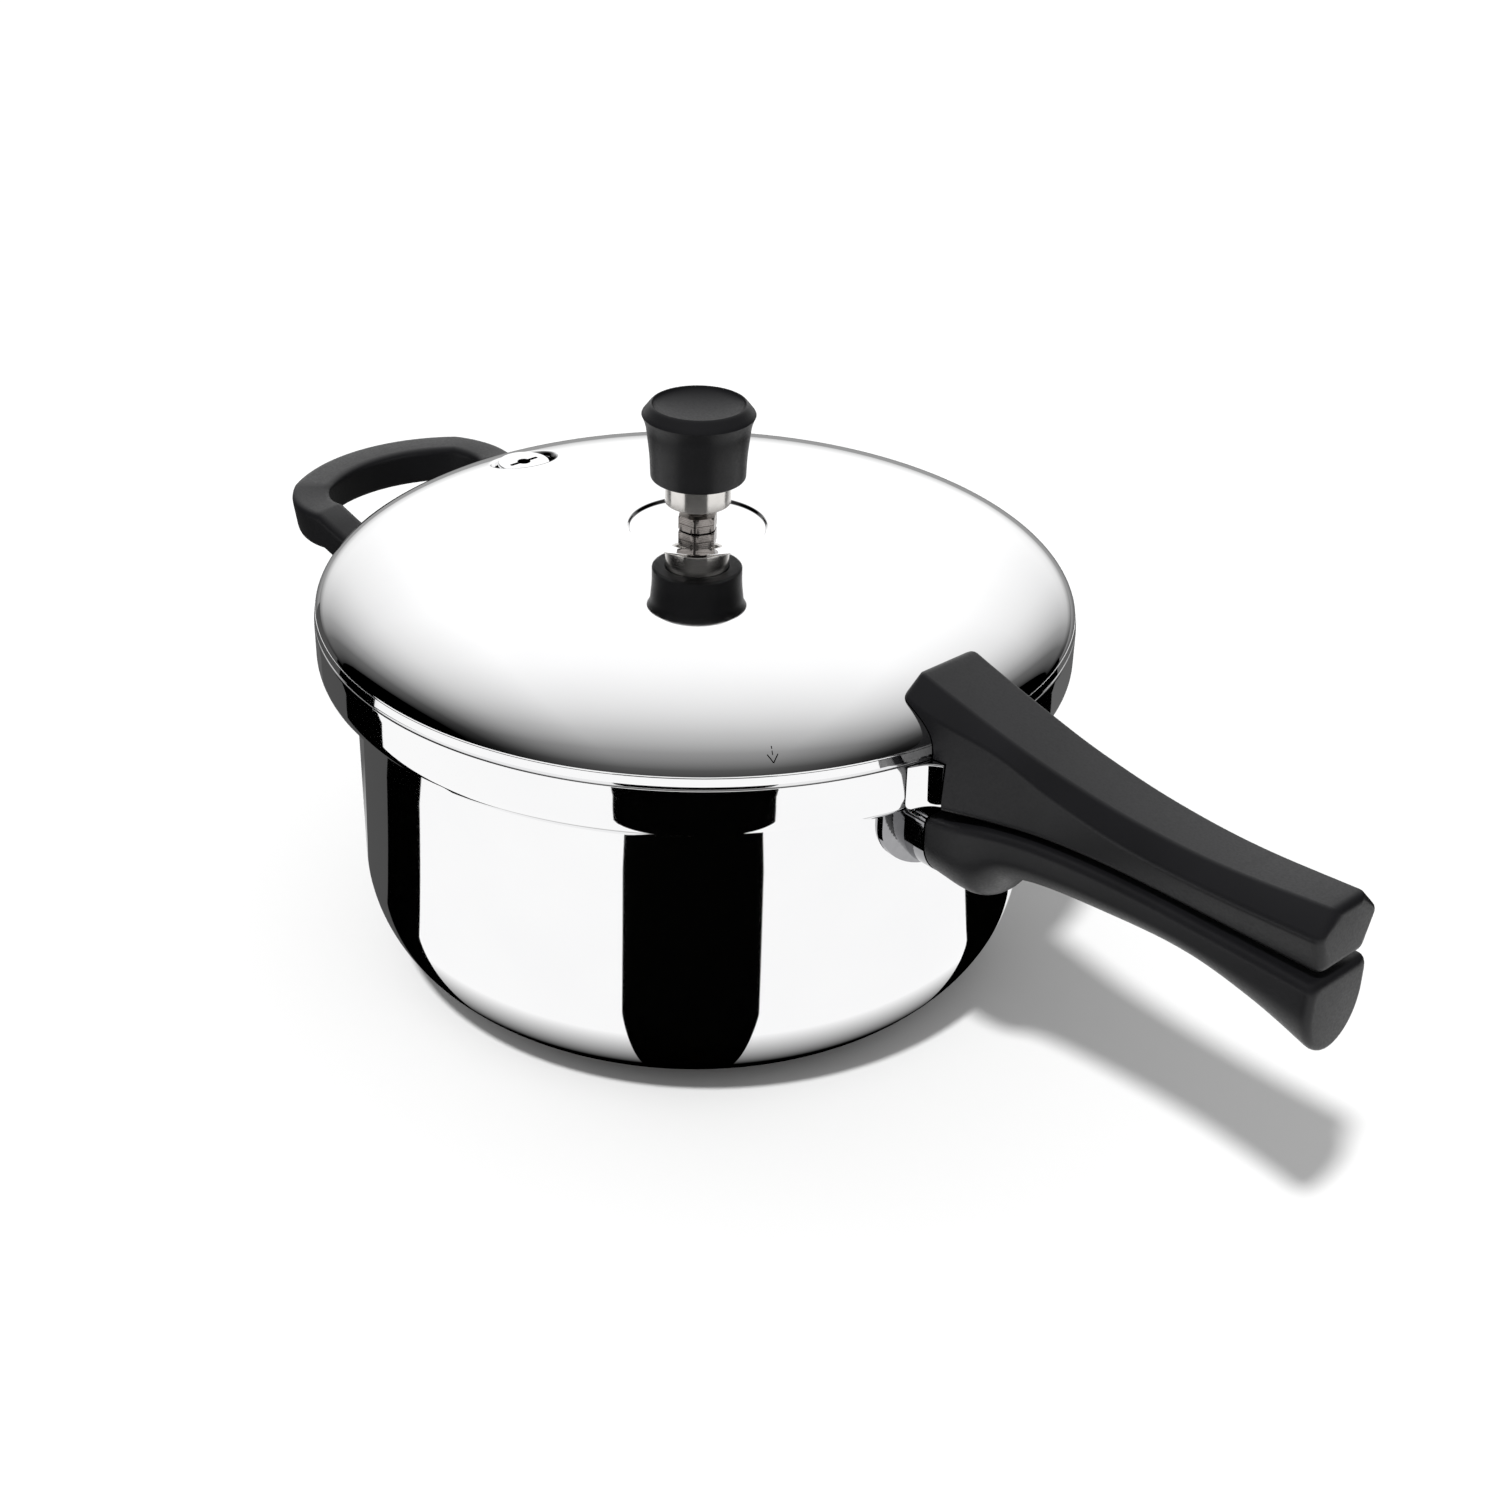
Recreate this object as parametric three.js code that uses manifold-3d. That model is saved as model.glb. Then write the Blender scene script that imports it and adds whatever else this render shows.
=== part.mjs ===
// Stovetop pressure cooker with an outer lid. Millimetres, +Z up. The origin is the centre of the
// pot's base, the long handles lie along +X and the helper handle along -X. The lid is shut and locked.
import * as THREE from "three";
import { mergeVertices } from "three/addons/utils/BufferGeometryUtils.js";
import Module from "manifold-3d";

const wasm = await Module();
wasm.setup();

// ---- Driving dimensions ----
const clearance = 0.3; // between pieces that touch
const roundSteps = 48; // facets round the pot and the lid

const potRadius = 100; // outside of the wall
const potHeight = 102; // base to the top of the rim
const potWall = 2.5;
const potCornerRadius = 36; // between base and wall
const earReach = 5.8; // how far an ear stands out from the wall
const earThickness = 2.5;
const earAngle = 22; // degrees round the pot
const earCount = 6;
const rimLip = 1.8; // what is left of the rim between two ears

const skirtWall = 2;
const skirtPlay = 2.7; // ear to skirt
const lugPlay = 1.3; // ear to lug, from below
const lugGap = 2.4; // pot wall to lug
const lugAngle = 34; // degrees round the lid
const lugRise = 4; // how much higher the skirt's edge is between two lugs
const curlRadius = 7.5; // outside radius of the turned-in edge
const gasketHeight = 9.3;
const gasketWidth = 9.8;
const neckHeight = 1.1; // skirt top to the level that the handles are set out from
const edgeRise = 2; // that level to the dome's edge
const bandLean = 0.5; // how far the band under the dome's edge leans in
const creaseHeight = 0.7; // crease between the band and the skirt
const domeWall = 2.5;
const domeHeight = 22.3; // of the ellipse that the dome follows
const domeOverhang = 0.2; // how far that ellipse reaches past the dome's edge
const padRadius = 19.5; // flat round pad in the middle
const padStep = 0.8;
const padDepth = 1.1; // pressed below the dome round it

const valveInset = 29.5; // safety valve, from the lid's edge
const valveSeatDepth = 2.4; // below the dome beside it
const valveRadius = 8;
const valveShankRadius = 4.8;
const recessRadius = 10;

const ventHexagon = 6; // corner radius
const ventHexagonHeight = 4.3;
const ventHexagonTurn = -51; // degrees
const ventStemRadius = 2.7;
const ventStemHeight = 13.9; // hexagon to nozzle tip
const ventThreadRadius = 3.9;
const ventBoreRadius = 1.3;

const sleeveRadius = 9.5;
const sleeveWall = 1.5;
const sleeveStandoff = 3.6; // hexagon to the sleeve's lower edge
const sleeveLength = 20.3;
const knobRise = 7.6; // sleeve's lower edge to the knob
const knobHeight = 22.4;
const knobRimRadius = 16.2;
const knobFootRadius = 13.7;
const pinRadius = 2.4;
const insertRadius = 5;

const handleReach = 117.5; // lid's edge to the handles' outer end
const handleOverlap = 13.5; // how far the lid handle lies over the dome
const handleStandoff = 3.5; // skirt to the lid handle's lower end
const handleGap = 2.2; // lid handle to pot handle
const collarReach = 8; // pot wall to the pot handle
const bracketWall = 1.5;
const tongueThickness = 3;
const helperReach = 74; // pot wall to the helper handle's outer edge
const helperHalfWidth = 43;
const helperBar = 13; // width and height of its bar

// ---- Levels and radii that follow ----
const rimRadius = potRadius + earReach;
const skirtInner = rimRadius + skirtPlay;
const lidRadius = skirtInner + skirtWall;
const lugTop = potHeight - earThickness - lugPlay;
const lugBottom = lugTop - skirtWall;
const curlLevel = lugBottom + curlRadius;
const gasketLevel = potHeight + clearance;
const ceiling = gasketLevel + gasketHeight + clearance;
const skirtTop = ceiling + skirtWall;
const neckLevel = skirtTop + neckHeight;
const domeLevel = neckLevel + edgeRise;
const domeRadius = lidRadius - bandLean;
const domeAxis = domeRadius + domeOverhang;
const domeCentre = domeLevel - domeHeight * Math.sqrt(1 - (domeRadius / domeAxis) ** 2);
const padEdge = padRadius + padStep;
const padTop = domeCentre + domeHeight * Math.sqrt(1 - (padEdge / domeAxis) ** 2) - padDepth;
const handleEnd = lidRadius + handleReach;
const valveOffset = lidRadius - valveInset;

const vec = (x, y, z) => new THREE.Vector3(x, y, z);

const steel = { color: 0xd9dadb, roughness: 0.12, metalness: 1 };
const darkSteel = { color: 0x9a9b9d, roughness: 0.3, metalness: 1 };
const brass = { color: 0xc9a55a, roughness: 0.3, metalness: 1 };
const alloy = { color: 0x8a8c90, roughness: 0.45, metalness: 1 };
const phenolic = { color: 0x1a1a1c, roughness: 0.45, metalness: 0 };
const silicone = { color: 0xb9b9b4, roughness: 0.6, metalness: 0 };

const cooker = new THREE.Group();

// ---- Tools ----

// A closed geometry as a solid that can be joined and cut.
function solid(geometry) {
  const loose = geometry.index ? geometry.toNonIndexed() : geometry;
  const bare = new THREE.BufferGeometry().setAttribute("position", loose.getAttribute("position"));
  const merged = mergeVertices(bare, 1e-3);
  const corners = [];
  for (let i = 0; i < merged.index.count; i += 3) {
    const face = [0, 1, 2].map((k) => merged.index.getX(i + k));
    if (new Set(face).size === 3) corners.push(face);
  }
  const make = (faces) =>
    new wasm.Manifold(
      new wasm.Mesh({
        numProp: 3,
        vertProperties: merged.attributes.position.array,
        triVerts: new Uint32Array(faces.flat()),
      }),
    );
  const made = make(corners);
  return made.volume() > 0 ? made : make(corners.map(([a, b, c]) => [a, c, b]));
}

// Adds a solid to the cooker as a named mesh.
function add(name, made, finish) {
  const { numProp, vertProperties, triVerts } = made.getMesh();
  const position = new Float32Array((vertProperties.length / numProp) * 3);
  for (let i = 0; i < position.length / 3; i += 1) {
    position.set(vertProperties.subarray(i * numProp, i * numProp + 3), i * 3);
  }
  const geometry = new THREE.BufferGeometry()
    .setAttribute("position", new THREE.BufferAttribute(position, 3))
    .setIndex(new THREE.BufferAttribute(triVerts, 1));
  const mesh = new THREE.Mesh(geometry, new THREE.MeshStandardMaterial({ ...finish, flatShading: true }));
  mesh.name = name;
  cooker.add(mesh);
}

// Points of an elliptical arc in a (radius, height) profile, angles in degrees.
function arc(r, z, radiusR, radiusZ, from, to, steps) {
  return Array.from({ length: steps + 1 }, (_, i) => {
    const angle = THREE.MathUtils.degToRad(from + ((to - from) * i) / steps);
    return [r + radiusR * Math.cos(angle), z + radiusZ * Math.sin(angle)];
  });
}

// A profile of [radius, height] points turned about the Z axis.
function turned(profile, steps = roundSteps) {
  const points = profile.map(([r, z]) => new THREE.Vector2(Math.max(r, 0), z));
  return solid(new THREE.LatheGeometry(points, steps).rotateX(Math.PI / 2));
}

function disc(radius, low, high, steps = 28) {
  return turned([[0, low], [radius, low], [radius, high], [0, high]], steps);
}

function ring(inner, outer, low, high, steps = 28) {
  return turned([[inner, low], [outer, low], [outer, high], [inner, high], [inner, low]], steps);
}

function hexagon(radius, low, high, turn = 0) {
  return disc(radius, low, high, 6).rotate([0, 0, turn + 90]);
}

function box(lowX, highX, halfY, lowZ, highZ) {
  const size = new THREE.BoxGeometry(highX - lowX, 2 * halfY, highZ - lowZ);
  return solid(size.translate((lowX + highX) / 2, 0, (lowZ + highZ) / 2));
}

// A shape drawn in (Y, Z) and pushed along X.
function pushed(shape, lowX, highX) {
  const geometry = new THREE.ExtrudeGeometry(shape, {
    depth: highX - lowX,
    bevelEnabled: false,
    curveSegments: 12,
  });
  const across = new THREE.Matrix4().makeBasis(vec(0, 1, 0), vec(0, 0, 1), vec(1, 0, 0));
  return solid(geometry.applyMatrix4(across).translate(lowX, 0, 0));
}

// A skin over rings of points, closed at both ends.
function loft(rings) {
  const count = rings[0].length;
  const middle = (points) =>
    points.reduce((sum, p) => sum.add(p), vec(0, 0, 0)).divideScalar(points.length);
  const position = rings.flat().concat(middle(rings[0]), middle(rings.at(-1)));
  const faces = [];
  for (let i = 0; i < count; i += 1) {
    const next = (i + 1) % count;
    for (let r = 0; r < rings.length - 1; r += 1) {
      const a = r * count;
      faces.push(a + i, a + next, a + count + next, a + i, a + count + next, a + count + i);
    }
    const last = (rings.length - 1) * count;
    faces.push(position.length - 2, next, i, position.length - 1, last + i, last + next);
  }
  return solid(new THREE.BufferGeometry().setFromPoints(position).setIndex(faces));
}

// A smooth line through [x, value] points, read at any x.
function through(points) {
  const knots = points.map(([x, value]) => vec(x, value, 0));
  const line = new THREE.CatmullRomCurve3(knots, false, "centripetal").getPoints(120);
  return (x) => {
    const after = Math.max(1, line.findIndex((p) => p.x >= x));
    const [a, b] = x > line.at(-1).x ? line.slice(-2) : [line[after - 1], line[after]];
    return THREE.MathUtils.lerp(a.y, b.y, THREE.MathUtils.clamp((x - a.x) / (b.x - a.x), 0, 1));
  };
}

const spread = (low, high, steps) =>
  Array.from({ length: steps + 1 }, (_, i) => low + ((high - low) * i) / steps);

const round = (count, each) => Array.from({ length: count }, (_, i) => each((360 / count) * i));

// ---- Pot ----

function makePotBody() {
  const flat = potRadius - potCornerRadius;
  const underside = potHeight - earThickness;
  const edge = earThickness / 3;
  let body = turned([
    [0, 0],
    ...arc(flat, potCornerRadius, potCornerRadius, potCornerRadius, -90, 0, 6),
    ...arc(potRadius + 1.5, underside - 1.5, 1.5, 1.5, 180, 90, 2),
    [rimRadius, underside],
    [rimRadius, potHeight - edge],
    [rimRadius - edge, potHeight],
    [potRadius - potWall + 1, potHeight],
    [potRadius - potWall, potHeight - 1],
    ...arc(flat, potCornerRadius, potCornerRadius - potWall, potCornerRadius - potWall, 0, -90, 6),
    [0, potWall],
  ]);
  // The notches between the ears let the lid's lugs through.
  const notch = new THREE.Shape();
  const half = THREE.MathUtils.degToRad(180 / earCount - earAngle / 2);
  notch.absarc(0, 0, rimRadius + 5, -half, half, false);
  notch.absarc(0, 0, potRadius + rimLip, half, -half, true);
  notch.closePath();
  const depth = earThickness + 2;
  const cutter = solid(
    new THREE.ExtrudeGeometry(notch, { depth, bevelEnabled: false, curveSegments: 10 }),
  ).translate([0, 0, underside - 1]);
  round(earCount, (turn) => {
    body = body.subtract(cutter.rotate([0, 0, turn + 180 / earCount]));
  });
  add("pot_body", body, steel);
}

// The U-shaped section shared by the pot handle, its collar and the bracket's flange.
function cupShape(halfWidth, top, bottom) {
  const straight = (top - bottom) * 0.3;
  const shape = new THREE.Shape();
  shape.moveTo(halfWidth, top - straight);
  shape.lineTo(halfWidth, top);
  shape.lineTo(-halfWidth, top);
  shape.lineTo(-halfWidth, top - straight);
  shape.absellipse(0, top - straight, halfWidth, top - straight - bottom, Math.PI, 2 * Math.PI, false);
  return shape;
}

const handleFoot = potRadius + collarReach; // where the pot handle starts
const collarTop = lugBottom - 1.8;
const collarBottom = collarTop - 22;
const tongueLevel = collarTop - 12;
const potScrewX = handleFoot + 12;

function makePotBracket() {
  const wallTube = ring(
    potRadius + clearance,
    potRadius + clearance + bracketWall,
    collarBottom - 10,
    collarTop + 5,
    roundSteps,
  );
  const flange = pushed(cupShape(22, collarTop - 0.5, collarBottom + 1), potRadius * 0.8, potRadius + 5);
  const collar = pushed(cupShape(15, collarTop, collarBottom), potRadius - 6, handleFoot - clearance);
  const tongue = box(potRadius, potScrewX + 8, 6, tongueLevel, tongueLevel + tongueThickness);
  const bracket = collar
    .subtract(disc(potRadius + clearance, 0, potHeight, roundSteps))
    .add(flange.intersect(wallTube))
    .add(tongue.subtract(disc(potRadius + clearance, 0, potHeight, roundSteps)))
    .subtract(disc(2.3, 0, potHeight).translate([potScrewX, 0, 0]));
  add("pot_bracket", bracket, steel);
}

// Underside of the lid handle, which the pot handle's top follows with a gap.
const handleUnderside = through([
  [lidRadius, neckLevel - 16.4],
  [lidRadius + handleReach * 0.15, neckLevel - 14],
  [lidRadius + handleReach * 0.3, neckLevel - 12],
  [lidRadius + handleReach * 0.5, neckLevel - 11],
  [handleEnd, neckLevel - 11.4],
]);

function makePotHandle() {
  const span = handleEnd - handleFoot;
  const bottom = through([
    [handleFoot, collarBottom + 0.2],
    [handleFoot + span * 0.1, collarBottom - 1.2],
    [handleFoot + span * 0.15, collarBottom + 1.6],
    [handleFoot + span * 0.2, collarBottom + 9],
    [handleFoot + span * 0.27, collarBottom + 12.2],
    [handleFoot + span * 0.45, collarBottom + 14.6],
    [handleFoot + span * 0.68, collarBottom + 16],
    [handleFoot + span * 0.85, collarBottom + 12],
    [handleEnd, collarBottom + 5.6],
  ]);
  const halfWidth = through([
    [handleFoot, 15],
    [handleFoot + span * 0.12, 15],
    [handleFoot + span * 0.3, 12.4],
    [handleFoot + span * 0.6, 11.2],
    [handleEnd, 11.6],
  ]);
  const under = (share) => {
    const x = lidRadius + handleReach * share;
    return [x, handleUnderside(x) - handleGap];
  };
  const top = through([
    [handleFoot, collarTop],
    [lidRadius + handleStandoff, collarTop + 1],
    ...[0.15, 0.3, 0.5, 0.75, 1].map(under),
  ]);
  const stations = spread(handleFoot, handleEnd - 2.5, 15).concat(handleEnd - 0.8, handleEnd);
  const rings = stations.map((x) => {
    const shrink = Math.max(0, x - handleEnd + 2) * 0.8;
    const high = top(x) - shrink;
    const low = bottom(x) + shrink;
    const half = halfWidth(x) - shrink;
    const shoulder = [
      [half - 1.6, high],
      [half, high - 1.6],
    ];
    const right = shoulder.concat(arc(0, high - 1.6, half, high - 1.6 - low, 0, -90, 5).slice(1));
    const left = right.slice(0, -1).reverse().map(([y, z]) => [-y, z]);
    return right.concat(left).map(([y, z]) => vec(x, y, z));
  });
  const slot = box(
    handleFoot - 5,
    potScrewX + 8 + clearance,
    6 + clearance,
    tongueLevel - clearance,
    tongueLevel + tongueThickness + clearance,
  );
  const bore = disc(2.3, collarBottom, tongueLevel + 8).add(disc(5, collarBottom - 10, tongueLevel - 4));
  add("pot_handle", loft(rings).subtract(slot).subtract(bore.translate([potScrewX, 0, 0])), phenolic);

  const washerTop = tongueLevel - 4 - clearance;
  const washer = ring(2.3, 4.5, washerTop - 0.8, washerTop).translate([potScrewX, 0, 0]);
  add("pot_handle_washer", washer, darkSteel);
  const head = washerTop - 0.8 - clearance;
  add("pot_handle_screw", screw(4.2, 2, head, tongueLevel + 7.5).translate([potScrewX, 0, 0]), darkSteel);
}

// A pan-head screw that points up, its head's upper face at the level given.
function screw(headRadius, shankRadius, headLevel, tip) {
  const slot = box(-headRadius, headRadius, 0.5, headLevel - 4, headLevel - 1.6);
  return turned(
    [
      [0, headLevel - 2.4],
      [headRadius - 0.8, headLevel - 2.4],
      [headRadius, headLevel - 1.4],
      [headRadius, headLevel],
      [shankRadius, headLevel],
      [shankRadius, tip - 1],
      [shankRadius - 0.8, tip],
      [0, tip],
    ],
    24,
  ).subtract(slot);
}

// ---- Helper handle ----

const helperScrewX = -(potRadius + 9);
const helperScrewY = 14;

function makeHelper() {
  const wallTube = ring(
    potRadius + clearance,
    potRadius + clearance + bracketWall,
    collarBottom - 10,
    collarTop + 5,
    roundSteps,
  );
  const flange = pushed(cupShape(26, collarTop - 2, collarBottom + 2), -potRadius - 5, -potRadius * 0.8);
  let bracket = flange.intersect(wallTube);
  const low = tongueLevel;
  const high = tongueLevel + tongueThickness;
  const hub = disc(potRadius + clearance, 0, potHeight, roundSteps);
  let slots = null;
  for (const side of [-1, 1]) {
    const tongue = box(helperScrewX - 5, -potRadius + 8, 4.5, low, high);
    const wide = box(helperScrewX - 5 - clearance, 0, 4.5 + clearance, low - clearance, high + clearance);
    const hole = disc(2.1, 0, potHeight).translate([helperScrewX, 0, 0]);
    bracket = bracket.add(tongue.translate([0, side * helperScrewY, 0]).subtract(hub));
    bracket = bracket.subtract(hole.translate([0, side * helperScrewY, 0]));
    const bore = disc(2.1, low - 6, high + 6)
      .add(disc(4.2, low - 20, low - 4))
      .translate([helperScrewX, 0, 0]);
    const cut = wide.add(bore).translate([0, side * helperScrewY, 0]);
    slots = slots ? slots.add(cut) : cut;
  }
  add("helper_bracket", bracket, steel);

  // The loop: an arm, a bar curved about a centre on the axis of symmetry, and the other arm.
  const barRadius = 47.5;
  const barCentre = -(potRadius + helperReach - helperBar / 2 - barRadius);
  const barHalf = helperHalfWidth - helperBar / 2;
  const swing = THREE.MathUtils.radToDeg(Math.asin(barHalf / barRadius));
  const bar = arc(barCentre, 0, -barRadius, barRadius, -swing, swing, 10);
  const gripLevel = neckLevel - 9 - helperBar / 2;
  const footLevel = tongueLevel + tongueThickness / 2;
  const foot = -(potRadius + 8);
  const route = [
    [foot, -25, footLevel],
    [(foot + bar[0][0]) / 2, -30, (footLevel * 2 + gripLevel) / 3],
    ...bar.map(([x, y]) => [x, y, gripLevel - 1.5 * Math.abs(y / barHalf)]),
    [(foot + bar[0][0]) / 2, 30, (footLevel * 2 + gripLevel) / 3],
    [foot, 25, footLevel],
  ].map(([x, y, z]) => vec(x, y, z));
  const rings = route.map((point, i) => {
    const before = point.clone().sub(route[Math.max(i - 1, 0)]).setZ(0).normalize();
    const after = route[Math.min(i + 1, route.length - 1)].clone().sub(point).setZ(0).normalize();
    const along = before.clone().add(after).normalize();
    const across = vec(-along.y, along.x, 0).divideScalar(Math.max(along.dot(after), along.dot(before)));
    const half = helperBar / 2;
    return arc(0, 0, half, half, 22.5, 337.5, 7).map(([u, w]) => {
      const square = half / Math.max(Math.abs(u), Math.abs(w), half * 0.78);
      const taper = 1 - 0.16 * (1 - (w * square) / half);
      return point.clone().addScaledVector(across, u * square * taper).add(vec(0, 0, w * square));
    });
  });
  const block = cupShape(27, footLevel + helperBar / 2, footLevel - helperBar / 2 - 1);
  const base = pushed(block, -(potRadius + 16), -(potRadius - 10));
  const keepOff = disc(potRadius + 2 * clearance + bracketWall, 0, potHeight, roundSteps);
  add("helper_handle", loft(rings).add(base).subtract(keepOff).subtract(slots), phenolic);
  for (const side of [-1, 1]) {
    const made = screw(3.6, 1.8, low - 4 - clearance, high + 5.5);
    const name = side < 0 ? "helper_screw_right" : "helper_screw_left";
    add(name, made.translate([helperScrewX, side * helperScrewY, 0]), darkSteel);
  }
}

// ---- Gasket ----

function makeGasket() {
  const outer = skirtInner - clearance - 0.5;
  const inner = outer - gasketWidth;
  const top = gasketLevel + gasketHeight;
  const lip = gasketHeight * 0.25;
  const profile = [
    [inner, gasketLevel],
    [outer, gasketLevel],
    [outer, top],
    [inner + 1, top],
    [inner, top - lip],
    [inner + gasketWidth * 0.5, top - lip - 1.2],
    [inner + gasketWidth * 0.5, gasketLevel + lip + 1.2],
    [inner, gasketLevel + lip],
    [inner, gasketLevel],
  ];
  add("gasket", turned(profile), silicone);
}

// ---- Lid ----

const domeAt = (r, wall = 0) =>
  domeCentre + (domeHeight - wall) * Math.sqrt(Math.max(0, 1 - (r / (domeAxis - wall)) ** 2));
const domeAngle = (r, wall = 0) => THREE.MathUtils.radToDeg(Math.acos(r / (domeAxis - wall)));
const valveSeat = domeAt(valveOffset) - valveSeatDepth;

// Everything inside the lid's outer surface, grown by a margin.
function lidEnvelope(margin) {
  return turned([
    [0, lugBottom - 30],
    [lidRadius + margin, lugBottom - 30],
    [lidRadius + margin, skirtTop + creaseHeight],
    ...arc(0, domeCentre, domeAxis + margin, domeHeight + margin, domeAngle(domeRadius), 90, 14),
  ]);
}

function makeLidShell() {
  const inside = domeRadius - 2 * domeWall;
  const lugReach = potRadius + lugGap;
  const curl = lidRadius - curlRadius;
  const domeInner = [domeAxis - domeWall, domeHeight - domeWall];
  let shell = turned([
    [0, padTop],
    [padRadius, padTop],
    ...arc(0, domeCentre, domeAxis, domeHeight, domeAngle(padEdge), domeAngle(domeRadius), 11),
    [lidRadius, skirtTop + creaseHeight],
    [lidRadius - 0.8, skirtTop + creaseHeight / 2],
    [lidRadius, skirtTop - 0.2],
    ...arc(curl, curlLevel, curlRadius, curlRadius, 0, -90, 4),
    [lugReach, lugBottom],
    [lugReach, lugTop],
    ...arc(curl, curlLevel, curlRadius - skirtWall, curlRadius - skirtWall, -90, 0, 4),
    [skirtInner, ceiling],
    [inside, ceiling],
    ...arc(0, domeCentre, ...domeInner, domeAngle(inside, domeWall), domeAngle(padEdge, domeWall), 8),
    [padRadius, padTop - domeWall],
    [0, padTop - domeWall],
  ]);
  // The skirt's edge rises between the lugs, with a soft S at each end.
  const half = (Math.sin(THREE.MathUtils.degToRad(180 / earCount - lugAngle / 2)) * lidRadius) - 1;
  const edge = new THREE.Shape();
  edge.moveTo(-half - 2.5, lugBottom - 5);
  edge.lineTo(-half - 2.5, lugBottom - 0.01);
  edge.bezierCurveTo(-half, lugBottom, -half, lugBottom + lugRise, -half + 2.5, lugBottom + lugRise);
  edge.lineTo(half - 2.5, lugBottom + lugRise);
  edge.bezierCurveTo(half, lugBottom + lugRise, half, lugBottom, half + 2.5, lugBottom - 0.01);
  edge.lineTo(half + 2.5, lugBottom - 5);
  edge.closePath();
  const cutter = pushed(edge, potRadius - 10, lidRadius + 10);
  round(earCount, (turn) => {
    shell = shell.subtract(cutter.rotate([0, 0, turn + 180 / earCount]));
  });
  // The flat seat of the safety valve stands in a round recess.
  const seat = disc(recessRadius + 2, valveSeat - 2.4, padTop, 36).translate([-valveOffset, 0, 0]);
  shell = shell
    .add(seat.intersect(lidEnvelope(-0.02)))
    .subtract(disc(recessRadius, valveSeat, padTop, 36).translate([-valveOffset, 0, 0]))
    .subtract(disc(valveShankRadius + clearance, 0, padTop).translate([-valveOffset, 0, 0]))
    .subtract(disc(ventThreadRadius + clearance, 0, padTop + 5));
  add("lid_shell", shell, steel);
}

const lidTongueLevel = neckLevel - 8;
const lidScrews = { lid_handle_screw_front: lidRadius + 14, lid_handle_screw_rear: lidRadius + 30 };
const lidScrewSeat = lidTongueLevel - 2.6;

function makeLidBracket() {
  const face = lidRadius + handleStandoff - clearance;
  const high = skirtTop - 0.9;
  const low = neckLevel - 15.5;
  const flare = through([
    [lidRadius - 4, 27],
    [lidRadius - 2, 23],
    [lidRadius, 18.5],
    [face, 15.8],
  ]);
  const rings = spread(lidRadius - 4, face, 6).map((x) => {
    const half = flare(x);
    return [
      [half, high],
      [-half, high],
      [-half, low + 2],
      [2 - half, low],
      [half - 2, low],
      [half, low + 2],
    ].map(([y, z]) => vec(x, y, z));
  });
  const tongueEnd = Math.max(...Object.values(lidScrews)) + 7;
  let bracket = loft(rings)
    .add(box(lidRadius - 2, tongueEnd, 7, lidTongueLevel, lidTongueLevel + tongueThickness))
    .subtract(disc(lidRadius + clearance, 0, padTop, roundSteps));
  for (const x of Object.values(lidScrews)) {
    bracket = bracket.subtract(disc(2.2, 0, padTop).translate([x, 0, 0]));
  }
  add("lid_bracket", bracket, steel);
}

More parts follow.
